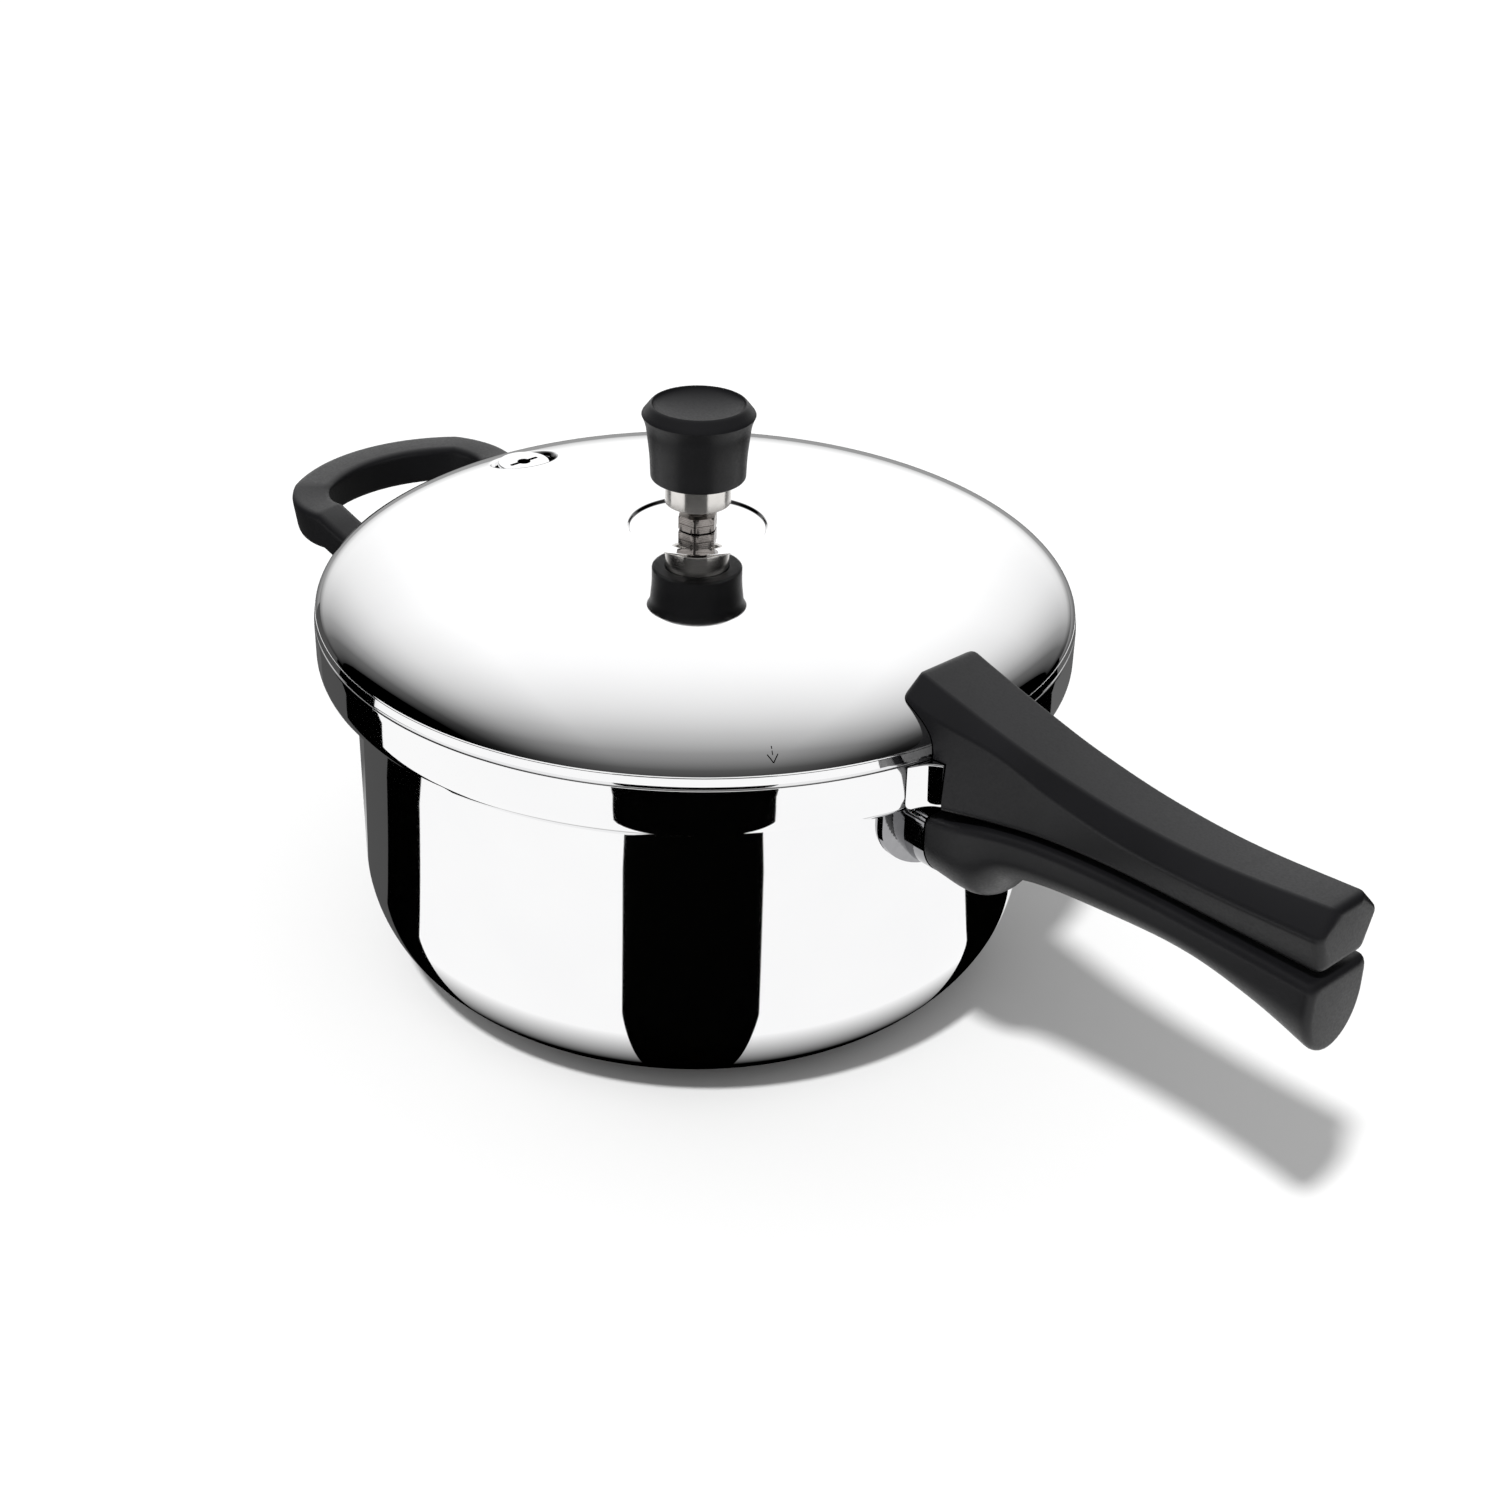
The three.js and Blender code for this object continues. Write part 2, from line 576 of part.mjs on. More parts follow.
function makeLidHandle() {
  const start = lidRadius - handleOverlap;
  const at = (share) => lidRadius + handleReach * share;
  const top = through([
    [start, neckLevel + 18],
    [at(-0.03), neckLevel + 15.3],
    [at(0.15), neckLevel + 10.2],
    [at(0.3), neckLevel + 6.8],
    [at(0.5), neckLevel + 4],
    [at(0.72), neckLevel + 3.4],
    [handleEnd, neckLevel + 6],
  ]);
  const widestLevel = through([
    [start, neckLevel + 12],
    [at(-0.03), neckLevel + 9.5],
    [at(0.15), neckLevel + 6.3],
    [at(0.3), neckLevel + 1.6],
    [at(0.5), neckLevel - 1.8],
    [at(0.72), neckLevel - 2],
    [handleEnd, neckLevel - 0.4],
  ]);
  const topHalf = through([
    [start, 10],
    [at(0.3), 8.6],
    [handleEnd, 6],
  ]);
  const bottomHalf = through([
    [start, 16.6],
    [lidRadius, 16.6],
    [at(0.15), 13.6],
    [at(0.3), 11.4],
    [at(0.55), 9.8],
    [handleEnd, 8.6],
  ]);
  const widest = through([
    [start, 15.6],
    [at(-0.03), 15],
    [at(0.15), 12.6],
    [at(0.3), 12],
    [handleEnd, 12],
  ]);
  const stations = [start, start + 1.2, ...spread(start + 4, handleEnd - 3, 17), handleEnd - 1, handleEnd];
  const rings = stations.map((x) => {
    const lead = Math.max(0, start + 1.2 - x);
    const shrink = Math.max(0, x - handleEnd + 2) * 0.8 + lead;
    const high = top(x) - shrink;
    const low = handleUnderside(Math.max(x, lidRadius)) + shrink;
    const right = [
      [topHalf(x) - 1.2 - shrink, high],
      [topHalf(x) - shrink, high - 0.6],
      [widest(x) - shrink, widestLevel(x)],
      [bottomHalf(x) - shrink, low + 2],
      [bottomHalf(x) - 2 - shrink, low],
    ];
    const left = right.map(([y, z]) => [-y, z]).reverse();
    return right.concat(left).map(([y, z]) => vec(x, y, z));
  });
  const face = lidRadius + handleStandoff;
  const tongueEnd = Math.max(...Object.values(lidScrews)) + 7 + clearance;
  let handle = loft(rings)
    .subtract(lidEnvelope(clearance))
    .subtract(box(start - 5, face, 40, lugBottom - 30, skirtTop - 0.9 + clearance))
    .subtract(
      box(
        lidRadius,
        tongueEnd,
        7 + clearance,
        lidTongueLevel - clearance,
        lidTongueLevel + tongueThickness + clearance,
      ),
    );
  for (const [name, x] of Object.entries(lidScrews)) {
    const bore = disc(2.2, lidScrewSeat - 1, lidTongueLevel + 6.5).add(
      disc(3.7, lidScrewSeat - 20, lidScrewSeat),
    );
    handle = handle.subtract(bore.translate([x, 0, 0]));
    const made = screw(3.3, 1.9, lidScrewSeat - clearance, lidTongueLevel + 6);
    add(name, made.translate([x, 0, 0]), darkSteel);
  }
  add("lid_handle", handle, phenolic);
}

// ---- Steam vent ----

const ventLevel = padTop + clearance;
const hexagonTop = ventLevel + ventHexagonHeight;
const nozzleTip = hexagonTop + ventStemHeight;

function makeVent() {
  const sealTop = padTop - domeWall - clearance;
  const nutTop = sealTop - 2.3 - clearance;
  const spigotEnd = nutTop - 5.5;
  const pipe = hexagon(ventHexagon, ventLevel, hexagonTop, ventHexagonTurn)
    .add(disc(ventStemRadius, ventLevel, nozzleTip - 1))
    .add(disc(ventStemRadius - 0.7, ventLevel, nozzleTip))
    .add(disc(ventThreadRadius, spigotEnd, ventLevel + 1))
    .subtract(disc(ventBoreRadius, spigotEnd - 1, nozzleTip + 1));
  add("vent_pipe", pipe, steel);
  add("vent_seal", ring(ventThreadRadius + clearance, 8.5, sealTop - 2.3, sealTop), silicone);
  const nut = hexagon(8, nutTop - 3.7, nutTop).subtract(disc(ventThreadRadius + clearance, 0, padTop));
  add("vent_nut", nut, darkSteel);
}

// ---- Safety valve ----

function makeSafetyValve() {
  const place = [-valveOffset, 0, 0];
  const base = valveSeat + clearance;
  const top = base + 2.3;
  const underside = valveSeat - 2.4;
  const shankEnd = underside - 8;
  const plugBore = 1.8;
  const slot = box(-5.2, 5.2, 0.55, top - 0.8, top + 1).rotate([0, 0, 90]);
  const body = turned(
    [
      [0, shankEnd],
      [valveShankRadius, shankEnd],
      [valveShankRadius, base],
      [valveRadius, base],
      [valveRadius, top - 0.6],
      [valveRadius - 0.6, top],
      [0, top],
    ],
    36,
  )
    .subtract(disc(plugBore, shankEnd - 1, top + 1))
    .subtract(slot);
  add("safety_valve_body", body.translate(place), steel);
  add("fusible_plug", disc(plugBore - clearance, shankEnd + 1, top - 1.2, 20).translate(place), alloy);
  const sealLow = underside - clearance - 2;
  const seal = ring(valveShankRadius + clearance, 9, sealLow, underside - clearance);
  add("safety_valve_seal", seal.translate(place), silicone);
  const nut = hexagon(8, sealLow - clearance - 3.6, sealLow - clearance);
  const threaded = nut.subtract(disc(valveShankRadius + clearance, 0, padTop));
  add("safety_valve_nut", threaded.translate(place), darkSteel);
}

// ---- Regulator weight ----

function makeRegulator() {
  const sleeveLow = hexagonTop + sleeveStandoff;
  const sleeveTop = sleeveLow + sleeveLength;
  const cavityTop = nozzleTip + 2;
  const knobLow = sleeveLow + knobRise;
  const knobTop = knobLow + knobHeight;
  const socketTop = sleeveTop + clearance;
  const insertTop = socketTop + 2.7;
  const bore = pinRadius + clearance;

  const clipOuter = sleeveRadius - sleeveWall - clearance;
  const clip = ring(ventStemRadius + clearance, clipOuter, sleeveLow + 3, sleeveLow + 4);
  add("weight_clip", clip, darkSteel);

  const sleeve = turned(
    [
      [sleeveRadius - sleeveWall, sleeveLow],
      [sleeveRadius - 0.3, sleeveLow],
      [sleeveRadius, sleeveLow + 0.3],
      [sleeveRadius, sleeveTop],
      [bore, sleeveTop],
      [bore, cavityTop],
      [sleeveRadius - sleeveWall, cavityTop],
      [sleeveRadius - sleeveWall, sleeveLow],
    ],
    36,
  );
  add("weight_sleeve", sleeve, steel);

  const seatLevel = nozzleTip + clearance;
  const pin = turned(
    [
      [0, seatLevel],
      [ventBoreRadius * 0.5, seatLevel],
      [pinRadius, seatLevel + 2.5],
      [pinRadius, insertTop],
      [0, insertTop],
    ],
    24,
  );
  add("weight_pin", pin, darkSteel);
  add("weight_insert", ring(bore, insertRadius, socketTop, insertTop), brass);

  const socket = sleeveRadius + clearance;
  const knob = turned(
    [
      [socket, knobLow],
      [knobFootRadius - 0.8, knobLow],
      [knobFootRadius, knobLow + 0.8],
      [knobRimRadius - 1.2, knobTop - 7],
      [knobRimRadius, knobTop - 3.3],
      [knobRimRadius - 1.4, knobTop - 1.2],
      [knobRimRadius - 2.5, knobTop],
      ...arc(0, knobTop, knobRimRadius - 3.2, 3.9, 0, -90, 4),
      [0, insertTop + clearance],
      [insertRadius + clearance, insertTop + clearance],
      [insertRadius + clearance, socketTop],
      [socket, socketTop],
      [socket, knobLow],
    ],
    36,
  );
  add("weight_knob", knob, phenolic);
}

makePotBody();
makePotBracket();
makePotHandle();
makeHelper();
makeGasket();
makeLidShell();
makeLidBracket();
makeLidHandle();
makeVent();
makeSafetyValve();
makeRegulator();

export default cooker;
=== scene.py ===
import bisect
import math

import bmesh
import bpy
from mathutils import Matrix, Vector


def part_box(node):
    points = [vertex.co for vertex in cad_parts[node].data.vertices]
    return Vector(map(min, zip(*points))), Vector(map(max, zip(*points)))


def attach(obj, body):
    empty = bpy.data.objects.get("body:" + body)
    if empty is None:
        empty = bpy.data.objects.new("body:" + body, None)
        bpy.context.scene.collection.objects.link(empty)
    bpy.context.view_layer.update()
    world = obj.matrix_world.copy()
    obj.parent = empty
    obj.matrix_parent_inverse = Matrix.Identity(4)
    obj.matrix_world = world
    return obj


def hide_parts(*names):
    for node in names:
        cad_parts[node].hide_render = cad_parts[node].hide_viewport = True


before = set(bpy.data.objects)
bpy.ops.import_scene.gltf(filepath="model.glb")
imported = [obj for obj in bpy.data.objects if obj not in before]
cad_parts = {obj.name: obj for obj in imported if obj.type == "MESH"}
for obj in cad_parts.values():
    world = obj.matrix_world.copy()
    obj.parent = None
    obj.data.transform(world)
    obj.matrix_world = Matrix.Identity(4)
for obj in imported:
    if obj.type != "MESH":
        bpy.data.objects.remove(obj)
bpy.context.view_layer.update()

mm = 0.001


def boxMm(node):
    low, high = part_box(node)
    return [v / mm for v in low], [v / mm for v in high]


# sRGB hex to linear
def toLinear(hexColour):
    channels = [int(hexColour[i:i + 2], 16) / 255 for i in (1, 3, 5)]
    return tuple(c / 12.92 if c <= 0.04045 else ((c + 0.055) / 1.055) ** 2.4 for c in channels) + (1.0,)


def arcPoints(r, z, radiusR, radiusZ, fromDeg, toDeg, steps):
    points = []
    for i in range(steps + 1):
        angle = math.radians(fromDeg + (toDeg - fromDeg) * i / steps)
        points.append((r + radiusR * math.cos(angle), z + radiusZ * math.sin(angle)))
    return points


def smoothStep(value):
    t = min(1.0, max(0.0, value))
    return t * t * (3 - 2 * t)


# A smooth line through (x, value) points, read at any x
def smoothLine(points):
    xs = [p[0] for p in points]
    ys = [p[1] for p in points]
    slopes = []
    for i in range(len(xs)):
        a, b = max(i - 1, 0), min(i + 1, len(xs) - 1)
        slopes.append((ys[b] - ys[a]) / (xs[b] - xs[a]))

    def read(x):
        x = min(max(x, xs[0]), xs[-1])
        i = min(max(bisect.bisect_right(xs, x) - 1, 0), len(xs) - 2)
        h = xs[i + 1] - xs[i]
        t = (x - xs[i]) / h
        return ((2 * t ** 3 - 3 * t ** 2 + 1) * ys[i] + (t ** 3 - 2 * t ** 2 + t) * h * slopes[i]
                + (-2 * t ** 3 + 3 * t ** 2) * ys[i + 1] + (t ** 3 - t ** 2) * h * slopes[i + 1])
    return read


# Corners (u, v, radius) to an outline with a fillet at each one
def roundedOutline(corners, steps=5):
    outline = []
    for i, (u, v, radius) in enumerate(corners):
        here = Vector((u, v))
        before = Vector(corners[i - 1][:2]) - here
        after = Vector(corners[(i + 1) % len(corners)][:2]) - here
        half = before.angle(after) / 2
        reach = min(radius / max(math.tan(half), 1e-4), before.length * 0.49, after.length * 0.49)
        start, end = here + before.normalized() * reach, here + after.normalized() * reach
        for k in range(steps + 1):
            t = k / steps
            outline.append(tuple(start * (1 - t) ** 2 + here * 2 * t * (1 - t) + end * t ** 2))
    return outline


# Distance along a piece, with close stations over the rounding at each end, and how far each shrinks
def roundedStations(low, high, count, startRadius, endRadius, steps=6):
    stations = []
    for k in range(steps):
        angle = math.pi / 2 * k / steps
        stations.append((low + startRadius * (1 - math.cos(angle)), startRadius * (1 - math.sin(angle))))
    inner = (low + startRadius, high - endRadius)
    stations += [(inner[0] + (inner[1] - inner[0]) * k / count, 0.0) for k in range(count + 1)]
    for k in range(1, steps + 1):
        angle = math.pi / 2 * k / steps
        stations.append((high - endRadius + endRadius * math.sin(angle), endRadius * (1 - math.cos(angle))))
    return stations


class Shape:
    # A mesh under construction, in millimetres
    def __init__(self):
        self.mesh = bmesh.new()

    def skin(self, rings, caps=True, closed=False, slots=None):
        made = [[self.mesh.verts.new(p) for p in ring] for ring in rings]
        count = len(made[0])
        pairs = list(zip(made, made[1:])) + ([(made[-1], made[0])] if closed else [])
        for row, (a, b) in enumerate(pairs):
            for i in range(count):
                j = (i + 1) % count
                face = self.mesh.faces.new((a[i], a[j], b[j], b[i]))
                face.material_index = slots[row] if slots else 0
        if caps and not closed:
            self.mesh.faces.new(list(reversed(made[0])))
            self.mesh.faces.new(made[-1])
        return self

    # profileAt(angle) gives (radius, height) points; the ends close on the axis or on each other
    def turn(self, profileAt, angles, closed=False, slots=None):
        columns = [profileAt(a) for a in angles]
        rings = []
        for row in range(len(columns[0])):
            rings.append([(c[row][0] * math.cos(a), c[row][0] * math.sin(a), c[row][1])
                          for a, c in zip(angles, columns)])
        self.skin(rings, caps=False, closed=closed, slots=slots)
        bmesh.ops.remove_doubles(self.mesh, verts=self.mesh.verts, dist=1e-4)
        return self

    def disc(self, radius, low, high, centre=(0, 0), steps=48, edge=0.0):
        profile = [(0, low), (radius - edge, low), (radius, low + edge),
                   (radius, high - edge), (radius - edge, high), (0, high)]
        other = Shape().turn(lambda a: profile, evenAngles(steps))
        other.move((centre[0], centre[1], 0))
        return self.take(other)

    def move(self, by):
        bmesh.ops.translate(self.mesh, verts=self.mesh.verts, vec=by)
        return self

    def take(self, other):
        spare = bpy.data.meshes.new("spare")
        other.mesh.to_mesh(spare)
        other.mesh.free()
        self.mesh.from_mesh(spare)
        bpy.data.meshes.remove(spare)
        return self

    def toMesh(self, name):
        bmesh.ops.recalc_face_normals(self.mesh, faces=self.mesh.faces)
        bmesh.ops.scale(self.mesh, verts=self.mesh.verts, vec=(mm, mm, mm))
        mesh = bpy.data.meshes.new(name)
        self.mesh.to_mesh(mesh)
        self.mesh.free()
        return mesh


def evenAngles(steps):
    return [2 * math.pi * i / steps for i in range(steps)]


def boxShape(low, high, edge=0.0):
    shape = Shape()
    half = [(h - l) / 2 for l, h in zip(low, high)]
    centre = [(h + l) / 2 for l, h in zip(low, high)]
    outline = roundedOutline([(half[0], half[1], edge), (-half[0], half[1], edge),
                              (-half[0], -half[1], edge), (half[0], -half[1], edge)], 3)
    rings = [[(centre[0] + u, centre[1] + v, z) for u, v in outline] for z in (low[2], high[2])]
    return shape.skin(rings)


# Joins or cuts two shapes with Blender's own solver and gives the new shape
def combine(shape, tool, operation):
    holder = bpy.data.objects.new("holder", shape.toMesh("holder"))
    other = bpy.data.objects.new("tool", tool.toMesh("tool"))
    for obj in (holder, other):
        bpy.context.scene.collection.objects.link(obj)
    modifier = holder.modifiers.new("join", "BOOLEAN")
    modifier.object, modifier.operation, modifier.solver = other, operation, "EXACT"
    bpy.context.view_layer.update()
    made = bpy.data.meshes.new_from_object(holder.evaluated_get(bpy.context.evaluated_depsgraph_get()))
    result = Shape()
    result.mesh.from_mesh(made)
    bmesh.ops.scale(result.mesh, verts=result.mesh.verts, vec=(1 / mm, 1 / mm, 1 / mm))
    for obj in (holder, other):
        mesh = obj.data
        bpy.data.objects.remove(obj)
        bpy.data.meshes.remove(mesh)
    bpy.data.meshes.remove(made)
    return result


# Turns a shape into a named piece: smooth faces, sharp edges, finish, body, and the node it stands for
def makePiece(name, shape, finishes, body, nodes, sharp=32):
    mesh = shape.toMesh(name)
    for polygon in mesh.polygons:
        polygon.use_smooth = True
    mesh.set_sharp_from_angle(angle=math.radians(sharp))
    obj = bpy.data.objects.new(name, mesh)
    bpy.context.scene.collection.objects.link(obj)
    for finish in finishes:
        mesh.materials.append(finish)
    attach(obj, body)
    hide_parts(*nodes)
    return obj


def addNode(tree, kind, settings=None, links=None):
    node = tree.nodes.new(kind)
    for key, value in (settings or {}).items():
        if key in node.inputs:
            node.inputs[key].default_value = value
        else:
            setattr(node, key, value)
    for key, source in (links or {}).items():
        tree.links.new(source, node.inputs[key])
    return node


def newFinish(name, settings):
    material = bpy.data.materials.new(name)
    material.use_nodes = True
    tree = material.node_tree
    shader = tree.nodes["Principled BSDF"]
    for key, value in settings.items():
        shader.inputs[key].default_value = value
    place = addNode(tree, "ShaderNodeTexCoord").outputs["Object"]
    return material, tree, shader, place


# Stainless steel, buffed to a mirror on a polishing wheel: the eye sees the room, a little softened by
# fine buffing marks that run round the piece
def mirrorPolishedStainless():
    material, tree, shader, place = newFinish("mirrorPolishedStainless", {"Metallic": 1.0, "Roughness": 0.03})
    haze = addNode(tree, "ShaderNodeTexNoise", {"Scale": 1 / (38 * mm), "Detail": 3.0}, {"Vector": place})
    tint = addNode(tree, "ShaderNodeValToRGB", links={"Fac": haze.outputs["Fac"]})
    tint.color_ramp.elements[0].color = toLinear("#EDEDEE")
    tint.color_ramp.elements[1].color = toLinear("#F3F3F3")
    tree.links.new(tint.outputs["Color"], shader.inputs["Base Color"])
    stretched = addNode(tree, "ShaderNodeMapping", {"Scale": (1.0, 1.0, 14.0)}, {"Vector": place})
    marks = addNode(tree, "ShaderNodeTexNoise", {"Scale": 1 / (1.6 * mm), "Detail": 2.0},
                    {"Vector": stretched.outputs["Vector"]})  # real marks are 0.01 mm, drawn wider to show
    softness = addNode(tree, "ShaderNodeMapRange", {"From Min": 0.3, "From Max": 0.7, "To Min": 0.02,
                                                    "To Max": 0.05}, {"Value": marks.outputs["Fac"]})
    tree.links.new(softness.outputs["Result"], shader.inputs["Roughness"])
    return material


# The same steel left satin inside by an abrasive pad turned round the pot: a soft, streaked grey sheen
def satinSpunStainless():
    material, tree, shader, place = newFinish("satinSpunStainless", {"Metallic": 1.0, "Roughness": 0.3})
    rings = addNode(tree, "ShaderNodeTexWave", {"wave_type": "RINGS", "rings_direction": "Z",
                                                "Scale": 1 / (4.4 * mm), "Distortion": 1.5, "Detail": 2.0},
                    {"Vector": place})
    tint = addNode(tree, "ShaderNodeValToRGB", links={"Fac": rings.outputs["Fac"]})
    tint.color_ramp.elements[0].color = toLinear("#C4C4C3")
    tint.color_ramp.elements[1].color = toLinear("#D6D6D5")
    tree.links.new(tint.outputs["Color"], shader.inputs["Base Color"])
    softness = addNode(tree, "ShaderNodeMapRange", {"To Min": 0.24, "To Max": 0.36},
                       {"Value": rings.outputs["Fac"]})
    tree.links.new(softness.outputs["Result"], shader.inputs["Roughness"])
    bump = addNode(tree, "ShaderNodeBump", {"Strength": 0.1, "Distance": 0.02 * mm},
                   {"Height": rings.outputs["Fac"]})
    tree.links.new(bump.outputs["Normal"], shader.inputs["Normal"])
    return material


# Stainless bar turned on a lathe: darker, with fine grooves round it that stretch the highlights
def turnedStainless(name, colour, groove, roughness):
    material, tree, shader, place = newFinish(name, {"Metallic": 1.0, "Roughness": roughness})
    lines = addNode(tree, "ShaderNodeTexWave", {"bands_direction": "Z", "Scale": 0.3 / (groove * mm),
                                                "Distortion": 0.6, "Detail": 2.0}, {"Vector": place})
    stains = addNode(tree, "ShaderNodeTexNoise", {"Scale": 1 / (3 * mm), "Detail": 3.0}, {"Vector": place})
    tint = addNode(tree, "ShaderNodeValToRGB", links={"Fac": stains.outputs["Fac"]})
    tint.color_ramp.elements[0].color = toLinear(colour[0])
    tint.color_ramp.elements[1].color = toLinear(colour[1])
    tree.links.new(tint.outputs["Color"], shader.inputs["Base Color"])
    softness = addNode(tree, "ShaderNodeMapRange", {"To Min": roughness * 0.75, "To Max": roughness * 1.3},
                       {"Value": lines.outputs["Fac"]})
    tree.links.new(softness.outputs["Result"], shader.inputs["Roughness"])
    bump = addNode(tree, "ShaderNodeBump", {"Strength": 0.12, "Distance": 0.03 * mm},
                   {"Height": lines.outputs["Fac"]})
    tree.links.new(bump.outputs["Normal"], shader.inputs["Normal"])
    return material


# Phenolic resin, pressed in a hot mould and tumbled: near black, satin, with a faint grain and paler
# specks of filler
def mouldedPhenolic(name, roughness):
    material, tree, shader, place = newFinish(name, {"Roughness": roughness, "Specular IOR Level": 0.28})
    cloud = addNode(tree, "ShaderNodeTexNoise", {"Scale": 1 / (22 * mm), "Detail": 4.0}, {"Vector": place})
    tint = addNode(tree, "ShaderNodeValToRGB", links={"Fac": cloud.outputs["Fac"]})
    tint.color_ramp.elements[0].color = toLinear("#0B0B0C")
    tint.color_ramp.elements[1].color = toLinear("#111113")
    tree.links.new(tint.outputs["Color"], shader.inputs["Base Color"])
    grain = addNode(tree, "ShaderNodeTexNoise", {"Scale": 1 / (0.7 * mm), "Detail": 2.0}, {"Vector": place})
    softness = addNode(tree, "ShaderNodeMapRange", {"From Min": 0.3, "From Max": 0.7,
                                                    "To Min": roughness - 0.05, "To Max": roughness + 0.06},
                       {"Value": grain.outputs["Fac"]})
    tree.links.new(softness.outputs["Result"], shader.inputs["Roughness"])
    bump = addNode(tree, "ShaderNodeBump", {"Strength": 0.1, "Distance": 0.05 * mm},
                   {"Height": grain.outputs["Fac"]})
    tree.links.new(bump.outputs["Normal"], shader.inputs["Normal"])
    return material


# Silicone rubber, moulded and cured: pale, a little cloudy and matt
def mouldedSilicone():
    material, tree, shader, place = newFinish("mouldedSilicone", {"Roughness": 0.5, "IOR": 1.41,
                                                                 "Subsurface Weight": 0.15,
                                                                 "Subsurface Scale": 2 * mm})
    cloud = addNode(tree, "ShaderNodeTexNoise", {"Scale": 1 / (9 * mm), "Detail": 3.0}, {"Vector": place})
    tint = addNode(tree, "ShaderNodeValToRGB", links={"Fac": cloud.outputs["Fac"]})
    tint.color_ramp.elements[0].color = toLinear("#BDBCB6")
    tint.color_ramp.elements[1].color = toLinear("#CFCEC8")
    tree.links.new(tint.outputs["Color"], shader.inputs["Base Color"])
    softness = addNode(tree, "ShaderNodeMapRange", {"To Min": 0.44, "To Max": 0.58},
                       {"Value": cloud.outputs["Fac"]})
    tree.links.new(softness.outputs["Result"], shader.inputs["Roughness"])
    return material


mirrorSteel = mirrorPolishedStainless()
satinSteel = satinSpunStainless()
turnedSteel = turnedStainless("turnedStainless", ("#D2CFCB", "#E2DFDB"), 0.22, 0.17)
drawnHexSteel = turnedStainless("drawnHexStainless", ("#6E6966", "#A8A29E"), 0.5, 0.24)
zincScrewSteel = turnedStainless("zincPlatedScrewSteel", ("#A9ACB0", "#BFC1C4"), 0.3, 0.3)
turnedBrass = turnedStainless("turnedBrass", ("#B08D4A", "#C9A75E"), 0.25, 0.25)
castAlloy = turnedStainless("castFusibleAlloy", ("#2C2C2D", "#3A3A3B"), 0.8, 0.5)
# near-black steel: the etched closing arrow's dark mark, and painted shade inside the safety valve's slot and
# hole
etchedMarkAndPaintedShadeSteel = turnedStainless("etchedMarkAndPaintedShadeSteel", ("#0E0E0E", "#1C1B1B"), 0.8, 0.6)
smokedSteel = turnedStainless("smokedPressedStainless", ("#8E8E90", "#A2A2A4"), 1.2, 0.06)
blackPhenolic = mouldedPhenolic("mouldedPhenolic", 0.4)
silicone = mouldedSilicone()
print("finishes made")


pot = {
    "earReach": 5.8,  # how far an ear stands out from the wall
    "earThickness": 2.5,
    "earAngle": 22,
    "earCount": 6,
    "rimLip": 1.8,  # what is left of the rim between two ears
    "wall": 2.5,
    "corner": 36,  # between base and wall
    "earBlend": 1.2,  # degrees over which an ear starts
}
potLow, potHigh = boxMm("pot_body")
potRadius = potHigh[0] - pot["earReach"]
potHeight = potHigh[2]


def potAngles():
    angles = set()
    earSteps = 4  # either side of where an ear starts or ends
    compared = 2 * (2 * earSteps + 1) * pot["earCount"]  # as many as the ears' ends have
    for ear in range(pot["earCount"]):
        middle = ear * 360 / pot["earCount"]
        for side in (-1, 1):
            for k in range(-earSteps, earSteps + 1):
                end = middle + side * pot["earAngle"] / 2
                angles.add(round((end + k * pot["earBlend"] / earSteps) % 360, 3))
    for i in range(240):
        angle = i * 1.5
        if all(abs((angle - a + 180) % 360 - 180) > 0.5 for a in list(angles)[:compared]):
            angles.add(angle)
    return [math.radians(a) for a in sorted(angles)]


def potProfile(angle):
    step = 360 / pot["earCount"]
    off = abs((math.degrees(angle) + step / 2) % step - step / 2) - pot["earAngle"] / 2
    share = 1 - smoothStep(off / pot["earBlend"] / 2 + 0.5)
    rim = potRadius + pot["rimLip"] + (pot["earReach"] - pot["rimLip"]) * share
    corner, wall, thick = pot["corner"], pot["wall"], pot["earThickness"]
    flat = potRadius - corner
    underside = potHeight - thick
    return (
        [(0, 0), (flat * 0.5, 0), (flat, 0)]
        + arcPoints(flat, corner, corner, corner, -88, 0, 40)
        + [(potRadius, z) for z in (50, 66, 82)]
        + arcPoints(potRadius + 1.5, underside - 1.5, 1.5, 1.5, 180, 90, 6)
        + [(rim - 0.6, underside)]
        + arcPoints(rim - 0.6, underside + 0.6, 0.6, 0.6, -70, 0, 3)
        + arcPoints(rim - 0.8, potHeight - 0.8, 0.8, 0.8, 0, 90, 5)
        + arcPoints(potRadius - wall + 1, potHeight - 1, 1, 1, 90, 180, 5)
        + [(potRadius - wall, z) for z in (82, 60)]
        + arcPoints(flat, corner, corner - wall, corner - wall, 0, -90, 30)
        + [(flat * 0.5, wall), (0, wall)]
    )


rows = len(potProfile(0))
innerRows = 33  # the satin inside
potSlots = [0 if row < rows - 1 - innerRows else 1 for row in range(rows - 1)]
potShape = Shape().turn(potProfile, potAngles(), slots=potSlots)
makePiece("potShell", potShape, [mirrorSteel, satinSteel], "pot", ["pot_body"])
print("pot made")


